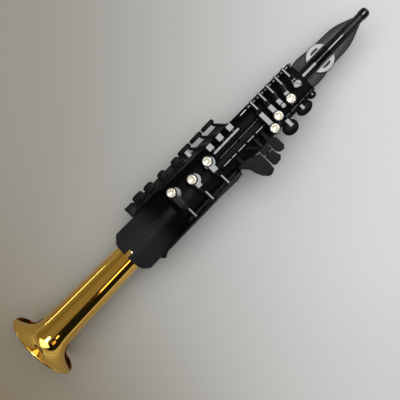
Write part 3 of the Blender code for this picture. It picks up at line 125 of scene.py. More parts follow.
# The photograph's right and up on the sheet, and the camera above it.
PHOTO_RIGHT = Vector((0.6952, -0.7189, 0.0))
PHOTO_UP = Vector((0.7189, 0.6952, 0.0))
CAMERA_SPOT = (289.2, -16.4, 850.0)
CAMERA_LENS, CAMERA_SENSOR = 56.46, 36.0

# Lamps and cards in metres: name, spot, aim, width, depth; cards have a brightness, a colour and a roll as well, and
# those without a brightness have that of the key card.
COOL, WHITE = (0.95, 0.97, 1.0), (0.96, 0.98, 1.0)
LAMPS = [
    ("key_lamp", (-0.15, 0.55, 2.2), (0.0, 0.0, 0.0), 2.4, 2.2),
    ("fill_lamp", (0.7, -0.5, 2.2), (0.1, 0.0, 0.0), 2.2, 2.2),
]
CARDS = [
    ("key_card", (0.52, 0.02, 1.7), (0.52, 0.02, 0.0), 1.06, 0.34, None, WHITE, 0.0),
    ("cup_card", (-0.05, 0.085, 1.7), (-0.05, 0.085, 0.0), 0.08, 0.06, None, WHITE, 0.0),
    ("bell_card", (1.30, 0.0, 1.28), (-0.30, 0.0, 0.08), 1.5, 1.5, 2.7, (1.0, 1.0, 0.97), 45.0),
    ("warm_card", (-0.395, -0.97, 1.6), (-0.36, -0.06, 0.08), 0.19, 0.27, 4.2, (1.0, 0.64, 0.32), 0.0),
    ("amber_card", (0.12, -1.15, 1.5), (-0.30, 0.0, 0.08), 0.55, 0.5, 1.3, (1.0, 0.66, 0.3), 0.0),
    ("rib_card", (-0.08, -0.026, 1.7), (-0.08, -0.026, 0.0), 0.04, 0.06, None, WHITE, 0.0),
    ("low_card", (-1.625, 3.0, 0.42), (-0.25, 0.0, 0.07), 2.15, 0.18, 4.6, (1.0, 0.98, 0.97), 0.0),
]
# Corners of the dark card beside the bell's rim, a painted shade that only the bell's gloss shows, and its height over
# the sheet.
SHADE_CORNERS = ((-6, 24), (12, 24), (12, 62), (-6, 62))
SHADE_HEIGHT = 0.6
# Painted light and shade on the sheet: its tone turns along a heading between two distances in metres, paler to the
# neck, out of the darker corner, and darker to the foot.
SHEET_LIGHT_TURNS = ((PHOTO_RIGHT, -0.30, 0.34), ((0.9999, -0.0168, 0.0), -0.62, -0.12), (PHOTO_UP, -0.06, -0.34))
SHEET_FOOT_SHADE = (0.91, 0.90, 0.88)


# ---------------- shapes

def at(x, y, z):
    """A point given in millimetres from the tube's axis and the bell's rim."""
    return AXIS + Vector((x, y, z)) * MM


def add_object(name, data):
    """A new object of the scene."""
    made = bpy.data.objects.new(name, data)
    bpy.context.scene.collection.objects.link(made)
    return made


def mesh_from(name, bm, *materials):
    """A mesh with its materials, from a bmesh that is freed."""
    mesh = bpy.data.meshes.new(name)
    bm.to_mesh(mesh)
    bm.free()
    for material in materials:
        mesh.materials.append(material)
    return mesh


def add_spun(bm, profile, centre, along, steps, closed=True):
    """Turn a profile of (radius, distance) points, in millimetres, about an axis through the centre."""
    along = Vector(along)
    across = Vector((0, 0, 1)) if abs(along.z) < 0.5 else Vector((1, 0, 0))
    verts = [bm.verts.new(centre + across * (r * MM) + along * (d * MM)) for r, d in profile]
    edges = [bm.edges.new(pair) for pair in zip(verts, verts[1:])]
    if closed:
        edges.append(bm.edges.new((verts[-1], verts[0])))
    bmesh.ops.spin(bm, geom=verts + edges, cent=centre, axis=along, angle=2 * math.pi, steps=steps, use_merge=True)


def ease(bm, edges, offset, segments=2):
    """Round edges over by an offset in millimetres, each once and in a fixed order."""
    edges = list(dict.fromkeys(edges))
    bmesh.ops.bevel(bm, geom=edges, offset=offset * MM, segments=segments, profile=0.5, affect="EDGES", material=-1)


def extrude(bm, faces):
    """The corners and the faces that an extrusion of faces makes, where they still lie on the old ones."""
    made = bmesh.ops.extrude_face_region(bm, geom=faces)["geom"]
    return [[item for item in made if isinstance(item, kind)] for kind in (bmesh.types.BMVert, bmesh.types.BMFace)]


def add_round_bar(bm, start, end, radius, sides=28, surface_index=0):
    """A round bar between two points, its ends eased."""
    line = end - start
    turn = line.to_track_quat("Z", "Y").to_matrix().to_4x4()
    made = bmesh.ops.create_cone(bm, cap_ends=True, segments=sides, radius1=radius * MM, radius2=radius * MM,
                                 depth=line.length, matrix=Matrix.Translation((start + end) / 2) @ turn)
    for face in {f for v in made["verts"] for f in v.link_faces}:
        face.material_index = surface_index
    caps = [e for v in made["verts"] for e in v.link_edges if len(e.link_faces) == 2
            and min(len(f.verts) for f in e.link_faces) < 5 < max(len(f.verts) for f in e.link_faces)]
    ease(bm, caps, 0.3)


def bar_section(width, thickness, crown, steps=12):
    """Cross-section of a bar on a flat base, its top flat at a crown of 0 and half-round at a crown of 1."""
    half, deep = width / 2, thickness / 2
    points = [(half * 0.92, -deep), (half, -deep * 0.7)]
    for i in range(steps + 1):
        turn = math.pi * i / steps
        share = math.cos(turn)
        flat = deep - 0.3 * deep * abs(share) ** 8
        arch = 0.1 * deep - deep + half * math.sin(turn) * 0.95
        points.append((half * share, flat + (max(arch, -deep * 0.6) - flat) * crown))
    return points + [(-half, -deep * 0.7), (-half * 0.92, -deep)]


def add_bar(bm, path, widths, thickness, crowns):
    """Extrude a bar along a path, one step for each point, each with its own width and crown."""
    rings = []
    for i, point in enumerate(path):
        forward = (path[min(i + 1, len(path) - 1)] - path[max(i - 1, 0)]).normalized()
        side = forward.cross(Vector((0, 0, 1))).normalized()
        up = side.cross(forward)
        rings.append([point + side * (a * MM) + up * (b * MM)
                      for a, b in bar_section(widths[i], thickness, crowns[i])])
    verts = [bm.verts.new(p) for p in rings[0]]
    face = bm.faces.new(verts)
    for ring in rings[1:]:
        old = [v.co.copy() for v in verts]
        fresh, (face, *_) = extrude(bm, [face])
        verts = [min(fresh, key=lambda v, spot=spot: (v.co - spot).length) for spot in old]
        for vert, spot in zip(verts, ring):
            vert.co = spot


def add_strip(bm, start, end, width, thickness, crown=0.0):
    """A straight bar of one width."""
    add_bar(bm, [start, end], [width, width], thickness, [crown, crown])


def add_plate(bm, outline, low, high, edge):
    """A plate with an outline of points and a rounded upper edge."""
    verts = [bm.verts.new((p.x, p.y, low)) for p in outline]
    face = bm.faces.new(verts)
    top, _ = extrude(bm, [face])
    for vert in top:
        vert.co.z = high
    rim = [e for v in top for e in v.link_edges if all(w.co.z > high - 1e-7 for w in e.verts)]
    ease(bm, rim, edge)


def softened(node, width, segments=2, angle=28.0):
    """A merged copy of a solid whose crisp edges are rounded over."""
    bm = bmesh.new()
    bm.from_mesh(frame["nodes"][node].data)
    bmesh.ops.remove_doubles(bm, verts=bm.verts, dist=0.001 * MM)
    bmesh.ops.dissolve_limit(bm, angle_limit=math.radians(0.8), verts=bm.verts, edges=bm.edges)
    crisp = [e for e in bm.edges if e.is_manifold and e.calc_length() > 0.25 * MM
             and e.calc_face_angle(0.0) > math.radians(angle)]
    if crisp:
        ease(bm, crisp, width, segments)
    return bm


def finish_piece(name, bm, use, node, stands_for=True, sharp=40.0, tidy=True, second=None, weighted=False):
    """Turn a bmesh into a piece that rides with a node's body, and stands for the node where it replaces it.

    Faces of material index 1 take the second finish, and weighted normals keep flat lands evenly bright.
    """
    if tidy:
        bmesh.ops.remove_doubles(bm, verts=bm.verts, dist=0.0005 * MM)
        bmesh.ops.recalc_face_normals(bm, faces=bm.faces)
    mesh = mesh_from(name, bm, *(finish(one) for one in (use, second) if one))
    mesh.shade_smooth()
    mesh.set_sharp_from_angle(angle=math.radians(sharp))
    piece = add_object(name, mesh)
    if weighted:
        piece.modifiers.new("flat_lands", "WEIGHTED_NORMAL").keep_sharp = True
    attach(piece, BODY_OF[node])
    if stands_for:
        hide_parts(node)


def dress(node, use, width, segments=2, angle=28.0):
    """Stand a softened copy in a solid's place."""
    finish_piece(f"{node}_finished", softened(node, width, segments, angle), use, node, tidy=False)


def turn_piece(name, node, use, profile, centre, along, steps, closed=False, sharp=40.0):
    """Stand a piece turned about an axis in a solid's place."""
    bm = bmesh.new()
    add_spun(bm, profile, centre, along, steps, closed)
    finish_piece(name, bm, use, node, sharp=sharp)


def middle_at(node, level):
    """The middle of a node as seen from above, at a level in metres."""
    low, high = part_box(node)
    return Vector(((low.x + high.x) / 2, (low.y + high.y) / 2, level))


# ---------------- materials

def add_node(tree, kind, inputs=None, **settings):
    """A node with its settings, and with each input linked from a socket or given a value."""
    node = tree.nodes.new(kind)
    for name, value in settings.items():
        setattr(node, name, value)
    for name, value in (inputs or {}).items():
        if isinstance(value, bpy.types.NodeSocket):
            tree.links.new(value, node.inputs[name])
        else:
            node.inputs[name].default_value = value
    return node


def mix_colours(tree, factor, one, other, **settings):
    """The blend of two colours, each given by its values or as a socket."""
    inputs = {"Factor": factor}
    for name, colour in (("A", one), ("B", other)):
        inputs[name] = colour if isinstance(colour, bpy.types.NodeSocket) else (*colour, 1.0)
    return add_node(tree, "ShaderNodeMix", inputs, data_type="RGBA", **settings).outputs["Result"]


def progress(tree, value, start, end, **settings):
    """How far a value has come from a start to an end, from 0 to 1."""
    inputs = {"Value": value, "From Min": start, "From Max": end}
    return add_node(tree, "ShaderNodeMapRange", inputs, **settings).outputs["Result"]


def add_relief(tree, height, strength, distance):
    """Relief on the material's normal from a height."""
    relief = add_node(tree, "ShaderNodeBump", {"Height": height, "Strength": strength, "Distance": distance})
    tree.links.new(relief.outputs["Normal"], tree.nodes["Principled BSDF"].inputs["Normal"])


def noise_group(name, values, outputs):
    """A new node group round a noise texture: the group, its input node, the texture and its output node."""
    group = bpy.data.node_groups.new(name, "ShaderNodeTree")
    group.interface.new_socket(name="Vector", in_out="INPUT", socket_type="NodeSocketVector")
    for label, value in values.items():
        socket = group.interface.new_socket(name=label, in_out="INPUT", socket_type="NodeSocketFloat")
        socket.default_value = value
    for label in outputs:
        group.interface.new_socket(name=label, in_out="OUTPUT", socket_type="NodeSocketFloat")
    inside, outside = group.nodes.new("NodeGroupInput"), group.nodes.new("NodeGroupOutput")
    noise = add_node(group, "ShaderNodeTexNoise", {name: inside.outputs[name] for name in ("Vector", "Scale")})
    return group, inside, noise, outside


def grain_group():
    """Fine relief and tone for a moulded or brushed surface."""
    found = bpy.data.node_groups.get("surface_grain")
    if found:
        return found
    group, inside, noise, outside = noise_group("surface_grain", {"Scale": 1500.0, "Detail": 3.0, "Depth": 1.0},
                                                ("Height", "Tone"))
    group.links.new(inside.outputs["Detail"], noise.inputs["Detail"])
    deepen = add_node(group, "ShaderNodeMath", {0: noise.outputs["Fac"], 1: inside.outputs["Depth"]},
                      operation="MULTIPLY")
    group.links.new(deepen.outputs[0], outside.inputs["Height"])
    group.links.new(noise.outputs["Fac"], outside.inputs["Tone"])
    return group


def handling_group():
    """Slow changes of gloss where hands polish and dull a surface."""
    found = bpy.data.node_groups.get("handling_gloss")
    if found:
        return found
    group, inside, noise, outside = noise_group("handling_gloss", {"Scale": 60.0, "Glossy": 0.1, "Dull": 0.2},
                                                ("Roughness", "Mask"))
    noise.inputs["Detail"].default_value = 4.0
    spread = add_node(group, "ShaderNodeMapRange",
                      {"From Min": 0.35, "From Max": 0.65, "Value": noise.outputs["Fac"],
                       "To Min": inside.outputs["Glossy"], "To Max": inside.outputs["Dull"]})
    group.links.new(spread.outputs["Result"], outside.inputs["Roughness"])
    group.links.new(noise.outputs["Fac"], outside.inputs["Mask"])
    return group


def surface(name, colour, other, gloss, dull, metallic=0.0, stretch=(1, 1, 1), scale=1500.0, relief=0.02,
            bump=0.00002, wear_scale=60.0, **sockets):
    """A finish whose colour, gloss and relief change over the surface, from the shared groups."""
    material = bpy.data.materials.new(name)
    material.use_nodes = True
    tree = material.node_tree
    shader = tree.nodes["Principled BSDF"]
    shader.inputs["Metallic"].default_value = metallic
    for socket, value in sockets.items():
        shader.inputs[socket.replace("_", " ")].default_value = value
    place = tree.nodes.new("ShaderNodeTexCoord").outputs["Object"]
    mapping = add_node(tree, "ShaderNodeMapping", {"Vector": place, "Scale": stretch})
    grain = add_node(tree, "ShaderNodeGroup", node_tree=grain_group())
    grain.inputs["Scale"].default_value = scale
    tree.links.new(mapping.outputs["Vector"], grain.inputs["Vector"])
    handling = add_node(tree, "ShaderNodeGroup", {"Scale": wear_scale, "Glossy": gloss, "Dull": dull, "Vector": place},
                        node_tree=handling_group())
    tree.links.new(mix_colours(tree, handling.outputs["Mask"], colour, other), shader.inputs["Base Color"])
    tree.links.new(handling.outputs["Roughness"], shader.inputs["Roughness"])
    if relief:
        add_relief(tree, grain.outputs["Height"], relief, bump)
    material.diffuse_color = (*colour, 1.0)
    return material


def make_finishes(look):
    """All finishes of the instrument, by use."""
    brass, key, cover, plate = tuple(look.brass), tuple(look.key_lacquer), tuple(look.cover), tuple(look.neck_plate)
    round_tube, along_rod, along_brace = (4.0, 0.4, 0.4), (0.2, 3.0, 3.0), (0.2, 4.0, 4.0)
    return {
        "brass": surface("gold_lacquered_brass", brass, tinted(brass, 0.86), 0.035, 0.075, metallic=1.0,
                         stretch=round_tube, scale=900.0, relief=0.05, bump=0.00001, wear_scale=30.0,
                         Coat_Weight=0.12, Coat_Roughness=0.04),
        "pale_brass": surface("satin_pale_brass", (0.74, 0.55, 0.24), (0.62, 0.43, 0.16), 0.16, 0.26, metallic=1.0,
                              stretch=round_tube, scale=900.0, relief=0.1),
        "body": surface("satin_black_cover", cover, tinted(cover, 1.5), 0.36, 0.46, scale=2600.0, relief=0.35,
                        bump=0.00003, wear_scale=40.0, Specular_IOR_Level=0.065),
        "front": front_finish_painted_shade(cover),
        "plate": surface("charcoal_neck_plate", plate, tinted(plate, 0.8), 0.38, 0.48, scale=2400.0, relief=0.3,
                         bump=0.00003, wear_scale=45.0, Specular_IOR_Level=0.12),
        "key": surface("gloss_black_lacquer", key, tinted(key, 1.8), 0.05, 0.12, scale=300.0, relief=0.05,
                       bump=0.00003, wear_scale=70.0, IOR=look.key_ior),
        "touch": surface("matte_black_touch", (0.0035, 0.0035, 0.004), (0.006, 0.006, 0.0065), 0.38, 0.5,
                         scale=2200.0, relief=0.4, bump=0.00004, wear_scale=80.0, Specular_IOR_Level=0.035),
        "steel": surface("turned_steel", (0.50, 0.51, 0.53), (0.42, 0.43, 0.45), 0.14, 0.24, metallic=1.0,
                         stretch=along_rod, scale=1400.0, relief=0.08),
        "dark_steel": surface("blackened_rod", (0.045, 0.045, 0.048), (0.03, 0.03, 0.033), 0.10, 0.20, metallic=1.0,
                              stretch=along_rod, scale=1400.0, relief=0.08),
        "pearl": surface("pale_pearl", tuple(look.pearl), (0.56, 0.52, 0.36), 0.14, 0.24, metallic=0.3, scale=220.0,
                         relief=0.05, bump=0.00003, wear_scale=140.0, Coat_Weight=0.3, Coat_Roughness=0.1),
        "silver": surface("satin_silver", (0.44, 0.44, 0.46), (0.37, 0.37, 0.39), 0.34, 0.46, stretch=along_brace,
                          scale=900.0, relief=0.2, Specular_IOR_Level=0.2),
        "rubber": surface("matte_rubber", (0.014, 0.014, 0.014), (0.022, 0.022, 0.022), 0.6, 0.75, scale=2000.0,
                          relief=0.5, bump=0.00004),
        "speaker": speaker_finish(),
        "board": board_finish(),
        "cell": surface("cell_wrap", (0.20, 0.20, 0.22), (0.28, 0.28, 0.30), 0.25, 0.35, metallic=0.4, scale=900.0,
                        relief=0.05),
    }


def tinted(colour, factor):
    """A colour made paler or deeper by a factor."""
    return tuple(c * factor for c in colour)


def front_finish_painted_shade(cover):
    """Satin black of the front cover with painted light and shade: paler on its bare end by the bell, deeper among the
    keys where shade falls between them.
    """
    bare = tinted(cover, BARE_LIT_TONE)
    material = surface("satin_front_cover", bare, tinted(bare, 1.15), 0.36, 0.46, scale=2600.0, relief=0.35,
                       bump=0.00003, wear_scale=40.0, Specular_IOR_Level=0.035)
    tree = material.node_tree
    spot = add_node(tree, "ShaderNodeSeparateXYZ", {"Vector": tree.nodes["Texture Coordinate"].outputs["Object"]})
    start, end = AXIS.x + (BARE_END - BARE_FADE) * MM, AXIS.x + (BARE_END + BARE_FADE) * MM
    along = progress(tree, spot.outputs["X"], start, end, interpolation_type="SMOOTHSTEP")
    base = tree.nodes["Principled BSDF"].inputs["Base Color"]
    # Painted shade: the cover turns deeper among the keys than on its paler bare end.
    tree.links.new(mix_colours(tree, along, base.links[0].from_socket, tinted(cover, KEY_SHADE_TONE)), base)
    return material


def speaker_finish():
    """Woven dark cone cloth in fine threads."""
    material = surface("speaker_cloth", (0.03, 0.03, 0.032), (0.05, 0.05, 0.052), 0.6, 0.8, scale=2500.0, relief=0)
    tree = material.node_tree
    threads = add_node(tree, "ShaderNodeTexWave",
                       {"Scale": 500.0, "Vector": tree.nodes["Texture Coordinate"].outputs["Object"]},
                       bands_direction="Z")
    add_relief(tree, threads.outputs["Fac"], 0.6, 0.0001)
    return material


def board_finish():
    """Solder mask over faint tracks."""
    material = surface("green_solder_mask", (0.02, 0.11, 0.045), (0.03, 0.16, 0.07), 0.25, 0.4, scale=900.0, relief=0)
    tree = material.node_tree
    tracks = add_node(tree, "ShaderNodeTexVoronoi",
                      {"Scale": 220.0, "Vector": tree.nodes["Texture Coordinate"].outputs["Object"]},
                      distance="MANHATTAN")
    add_relief(tree, tracks.outputs["Distance"], 0.3, 0.0001)
    return material


FINISHES = {}


def finish(use):
    """A finish by its use; all of them are made at the first call."""
    if not FINISHES:
        made = make_finishes(bpy.context.scene.saxophone_look)
        FINISHES.update({key: material.name for key, material in made.items()})
    return bpy.data.materials[FINISHES[use]]


# ---------------- pieces

def bell_profile(sizes):
    """The bell's wall as (radius, distance) points: rolled bead, outer side, tail and inner side."""
    wall, flare, rim, mouth, tail = 1.0, 8.0, 51.58, 24.6, 19.2
    outer, inner = [], []
    for i in range(1, sizes.bell_rings + 1):
        x = BELL_LENGTH * (i / sizes.bell_rings) ** 2.1
        swell = (rim - 0.75 - mouth) * math.exp(-x / flare)
        r = mouth + (tail - mouth) * x / BELL_LENGTH + swell
        slope = (tail - mouth) / BELL_LENGTH - swell / flare
        lean = math.hypot(1.0, slope)
        outer.append((r, x))
        inner.append((r - wall / lean, min(x + slope * wall / lean, BELL_LENGTH)))
    bead = [(rim - 1.5 + 1.5 * math.sin(math.radians(a)), 1.5 * math.cos(math.radians(a)))
            for a in range(215, -21, -15)]
    inner = [p for p in inner if p[1] > -0.6]
    return bead + outer + inner[::-1]


def make_bell(sizes):
    """Turn the bell, and finish its collar and the speaker behind it."""
    turn_piece("bell_turned", "bell", "brass", bell_profile(sizes), at(0, 0, 0), (1, 0, 0), sizes.bell_steps,
               closed=True, sharp=60.0)
    dress("bell_collar", "pale_brass", 0.2)
    profile = [(0.0, 3.4), (3.0, 3.1), (5.0, 2.2), (5.4, 1.9), (14.0, 0.9), (15.0, 0.5), (15.8, 0.15), (16.8, 0.02),
               (17.8, 0.15), (18.4, 0.6), (19.5, 0.6), (19.5, 1.9), (9.0, 7.6), (5.0, 7.9), (5.0, 10.6), (0.0, 10.6)]
    turn_piece("speaker_cone", "speaker", "speaker", profile, at(CONE_START, 0, 0), (1, 0, 0), 48)


def make_housing():
    """Front and back covers, guards and the pieces inside."""
    dress("front_cover", "front", 0.4)
    dress("back_cover", "body", 0.6)
    dress("battery_cover", "body", 0.35)
    bm = softened("left_side_guard", 0.4)
    for x in (205.0, 211.0):
        bmesh.ops.bisect_plane(bm, geom=bm.verts[:] + bm.edges[:] + bm.faces[:], plane_co=at(x, 0, 0),
                               plane_no=(1, 0, 0))
    start, end = GUARD_HOOK
    for vert in bm.verts:
        x, y, _ = (vert.co - AXIS) / MM
        past_hook = min(1.0, max(0.0, (x - start) / (end - start)))
        vert.co.y += max(0.0, -26.0 - y) * GUARD_SLIM * past_hook * MM
    finish_piece("left_side_guard_finished", bm, "body", "left_side_guard", tidy=False)
    dress("right_side_guard", "body", 0.4)
    for node, use in (("battery_holder", "cell"), ("circuit_board", "board"), ("breath_sensor", "rubber")):
        materials = frame["nodes"][node].data.materials
        materials.clear()
        materials.append(finish(use))
    bm = bmesh.new()
    for x, y in COVER_SCREWS:
        for side in (1, -1):
            add_screw(bm, at(x, side * y, BACK_LEVEL), (0, 0, -1), 2.4, 0.5)
    finish_piece("cover_screws", bm, "steel", "back_cover", stands_for=False)


def add_screw(bm, spot, along, radius, height):
    """A slotted cheese head standing out of a face."""
    along = Vector(along)
    turn = along.to_track_quat("Z", "Y").to_matrix().to_4x4()
    made = bmesh.ops.create_cone(bm, cap_ends=True, segments=24, radius1=radius * MM, radius2=radius * 0.92 * MM,
                                 depth=2 * height * MM, matrix=Matrix.Translation(spot) @ turn)
    head = made["verts"]
    faces = list(dict.fromkeys(f for v in head for f in v.link_faces))
    edges = list(dict.fromkeys(e for v in head for e in v.link_edges))
    side = turn.to_3x3() @ Vector((1, 0, 0))
    for sign in (-1, 1):
        slot_edge = spot + side * (sign * radius * 0.14 * MM)
        cut = bmesh.ops.bisect_plane(bm, geom=head + edges + faces, plane_co=slot_edge, plane_no=side)["geom"]
        head, edges, faces = ([g for g in cut if isinstance(g, kind)]
                              for kind in (bmesh.types.BMVert, bmesh.types.BMEdge, bmesh.types.BMFace))
    top = [f for f in faces if f.is_valid and f.normal.dot(along) > 0.9
           and abs((f.calc_center_median() - spot).dot(side)) < radius * 0.1 * MM]
    if top:
        for vert in extrude(bm, top)[0]:
            vert.co -= along * (height * 0.8 * MM)
        bmesh.ops.delete(bm, geom=[f for f in top if f.is_valid], context="FACES_ONLY")


def make_rods():
    """Hinge rods with slotted ends."""
    for node in ("right_stack_rod", "left_stack_rod", "side_key_rod", "centre_rod", "table_key_rod", "palm_key_rod",
                 "low_side_rod"):
        low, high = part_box(node)
        y, z = (low.y + high.y) / 2, (low.z + high.z) / 2
        bm = bmesh.new()
        add_round_bar(bm, Vector((low.x, y, z)), Vector((high.x, y, z)), 1.18, 24)
        if node == "left_stack_rod":
            start, end = (Vector((AXIS.x + x * MM, y, z + 1.05 * MM)) for x in STACK_ROD_LAND)
            add_strip(bm, start, end, 1.7, 0.5)
        finish_piece(f"{node}_finished", bm, "dark_steel", node, weighted=True)
        bm = bmesh.new()
        for x, outward in ((low.x, -1), (high.x, 1)):
            add_screw(bm, Vector((x - outward * 0.3 * MM, y, z)), (outward, 0, 0), 1.9, 0.5)
        finish_piece(f"{node}_screws", bm, "dark_steel", node, stands_for=False)


def make_neck():
    """Neck plate, tube, brace and ribbed saddle."""
    dress("neck_plate", "plate", 0.5)
    low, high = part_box("neck_tube")
    start, tip = (low.x - AXIS.x) / MM, (high.x - AXIS.x) / MM
    tube = [(2.2, start), (6.5, start + 0.1), (6.5, NECK_STEP - 1.0), (6.5, NECK_STEP + 1.0)]
    barrel = [(6.5, 14.5), (6.2, 13.6), (5.8, 13.2), (5.8, 12.2), (6.3, 11.9), (6.9, 11.4), (7.0, 10.8), (7.0, 4.2),
              (6.8, 2.8), (6.2, 1.5), (5.2, 0.5), (4.2, 0.05), (3.2, 0.0), (2.5, 0.1), (2.2, 0.5)]
    bm = bmesh.new()
    add_spun(bm, tube + [(radius, tip - back) for radius, back in barrel], at(0, 0, 0), (1, 0, 0), 120)
    for vert in bm.verts:
        x, y, z = (vert.co - AXIS) / MM
        half_land = 2.1 if x < NECK_STEP else 0.95
        radius = math.hypot(y, z)
        if radius > 5.0 and z > 0.0:
            vert.co.z = min(vert.co.z, AXIS.z + math.sqrt(radius * radius - half_land * half_land) * MM)
    finish_piece("neck_tube_turned", bm, "key", "neck_tube", sharp=50.0)
    for node in ("ring_brace_left", "ring_brace_right"):
        bm = softened(node, 0.2, 2)
        # Faces that point up stay silver and all others take the black lacquer: painted shade on the brace's sloped
        # rim and slot walls.
        for face in bm.faces:
            face.material_index = int(face.normal.z < 0.9)
        finish_piece(f"{node}_finished", bm, "silver", node, tidy=False, second="key")
    make_saddle()


def make_saddle():
    """The saddle over the tube, with ribs that run along it."""
    low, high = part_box("neck_saddle")
    outer, inner, ribs = 8.7, 6.85, 22
    bottom = (low.z - AXIS.z) / MM + 0.05
    points = []
    for i in range(ribs * 4 + 1):
        turn = math.radians(7 + 166 * i / (ribs * 4))
        radius = outer - (0.55 if i % 4 in (1, 2) else 0.0)
        points.append((radius * math.cos(turn), radius * math.sin(turn)))
    points += [(-inner, bottom)]
    points += [(inner * math.cos(turn), max(inner * math.sin(turn), bottom))
               for turn in [math.radians(170 - 160 * i / 24) for i in range(25)]]
    points += [(inner, bottom)]
    bm = bmesh.new()
    start = (low.x - AXIS.x) / MM + 0.1
    face = bm.faces.new([bm.verts.new(at(start, a, b)) for a, b in points])
    for vert in extrude(bm, [face])[0]:
        vert.co.x = high.x - 0.1 * MM
    finish_piece("neck_saddle_ribbed", bm, "key", "neck_saddle", sharp=30.0)


def make_pearls():
    """Dished pearl touches, each with a shoulder under the lip of its ring."""
    for letter in "defgab":
        node = f"pearl_{letter}"
        low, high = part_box(node)
        height = (high.z - low.z) / MM
        dish = [(4.7 * i / 8, height - 1.0 * (1 - (i / 8) ** 2)) for i in range(9)]
        rim = [(5.1, height - 0.02), (5.4, height - 0.25), (5.55, height - 0.7), (5.6, 1.1), (6.2, 1.0), (6.2, 0.1),
               (6.0, 0.0), (0.0, 0.0)]
        turn_piece(f"{node}_dished", node, "pearl", dish + rim, middle_at(node, low.z), (0, 0, 1), 48, sharp=60.0)


def add_arm(bm, rod, key):
    """An arm that leaves the rod as a half-round rib, steps up and ends as a flat bar at the touch."""
    rod_y, rod_z = rod
    toward = 1 if key.touch[1] > rod_y else -1
    low, middle = rod_z + 3.5, ARM_TOP - 1.2
    step = key.bar_x - key.rib_x
    path = [at(key.rib_x, rod_y - toward * 3.4, low - 0.6), at(key.rib_x, rod_y - toward * 2.6, low),
            at(key.rib_x, rod_y + toward * 3.0, low), at(key.rib_x, key.rib_end - toward * 1.2, low),
            at(key.rib_x + step * 0.1, key.rib_end, low + 0.1),
            at(key.rib_x + step * 0.9, key.bar_start - toward * 1.0, middle - 0.3),
            at(key.bar_x, key.bar_start, middle), at(key.bar_x, key.touch[1] - toward * 1.5, middle)]
    widths = [4.8, 6.2, 6.2, 6.2, 6.6, key.width - 0.4, key.width, key.width]
    add_bar(bm, path, widths, 2.4, [1, 1, 1, 1, 0.9, 0.1, 0, 0])
    land = low + 1.65
    add_strip(bm, at(key.rib_x, rod_y - toward * 3.0, land), at(key.rib_x, key.rib_end - toward * 0.4, land), 2.3, 0.7)


def add_land(bm, low, high, y, z):
    """A narrow flat land along the top of a tube."""
    level = z + TUBE_RADIUS - 0.25
    add_strip(bm, at(low + 0.5, y, level), at(high - 0.5, y, level), TUBE_LAND, 0.7)


def add_tube(bm, low, high, y, z, surface_index=0):
    """A key's hinge tube."""
    add_round_bar(bm, at(low, y, z), at(high, y, z), TUBE_RADIUS, surface_index=surface_index)


def tube_and_arm(key):
    """A top key as far as its tube, which has a flat land on the left-hand rod, and its arm."""
    right = key.name in RIGHT_HAND
    rod = RIGHT_STACK if right else LEFT_STACK
    bm = bmesh.new()
    add_tube(bm, key.low, key.high, *rod, surface_index=int(right))
    if not right:
        add_land(bm, key.low, key.high, *rod)
    add_arm(bm, rod, key)
    return bm


def make_finger_keys():
    """The six pearl keys: tube, arm that is ribbed at the rod and flat at the cup, cup and pearl ring."""
    top = CUP_TOP + 2.6
    ring = [(5.8, top - 1.0), (5.8, top + 0.9), (6.0, top + 1.15), (6.4, top + 1.15), (6.9, top + 0.7),
            (7.4, top - 0.6), (8.0, CUP_TOP - 0.4), (0.0, CUP_TOP - 0.4), (0.0, top - 1.0)]
    for key in FINGER_KEYS:
        bm = tube_and_arm(key)
        if key.name == "key_d":
            for face in bm.faces:
                if face.calc_center_median().y > at(0, key.rib_end + 1.0, 0).y:
                    face.material_index = 1
        add_cup(bm, key.touch, key.radius)
        add_spun(bm, ring, middle_at(key.name.replace("key", "pearl"), AXIS.z), (0, 0, 1), 48, closed=False)
        finish_piece(f"{key.name}_lacquered", bm, "key", key.name, second="body", weighted=True)


def add_cup(bm, cup, radius):
    """A round key cup with a rolled edge and a step on its top."""
    top = CUP_TOP
    profile = [(0.0, top), (radius - 1.7, top), (radius - 1.5, top - 0.02), (radius - 1.1, top - 0.2),
               (radius - 0.5, top - 0.6), (radius, top - 1.3), (radius, top - 2.4), (radius - 0.5, top - 3.0),
               (0.0, top - 3.0)]
    add_spun(bm, profile, at(*cup, 0), (0, 0, 1), 56, closed=False)


def make_small_keys():
    """Bis and front F with their plain round touches."""
    top, bottom = ARM_TOP + 2.4, ARM_TOP - 2.4
    for key in SMALL_KEYS:
        bm = tube_and_arm(key)
        if key.name == "key_front_f":
            add_slit_touch(bm, key.touch, key.radius, top)
        else:
            radius = key.radius
            profile = [(0.0, top), (radius - 1.2, top), (radius - 0.7, top - 0.1), (radius - 0.2, top - 0.5),
                       (radius, top - 1.2), (radius, bottom), (0.0, bottom)]
            add_spun(bm, profile, at(*key.touch, 0), (0, 0, 1), 44, closed=False)
        finish_piece(f"{key.name}_lacquered", bm, "key", key.name, weighted=True)


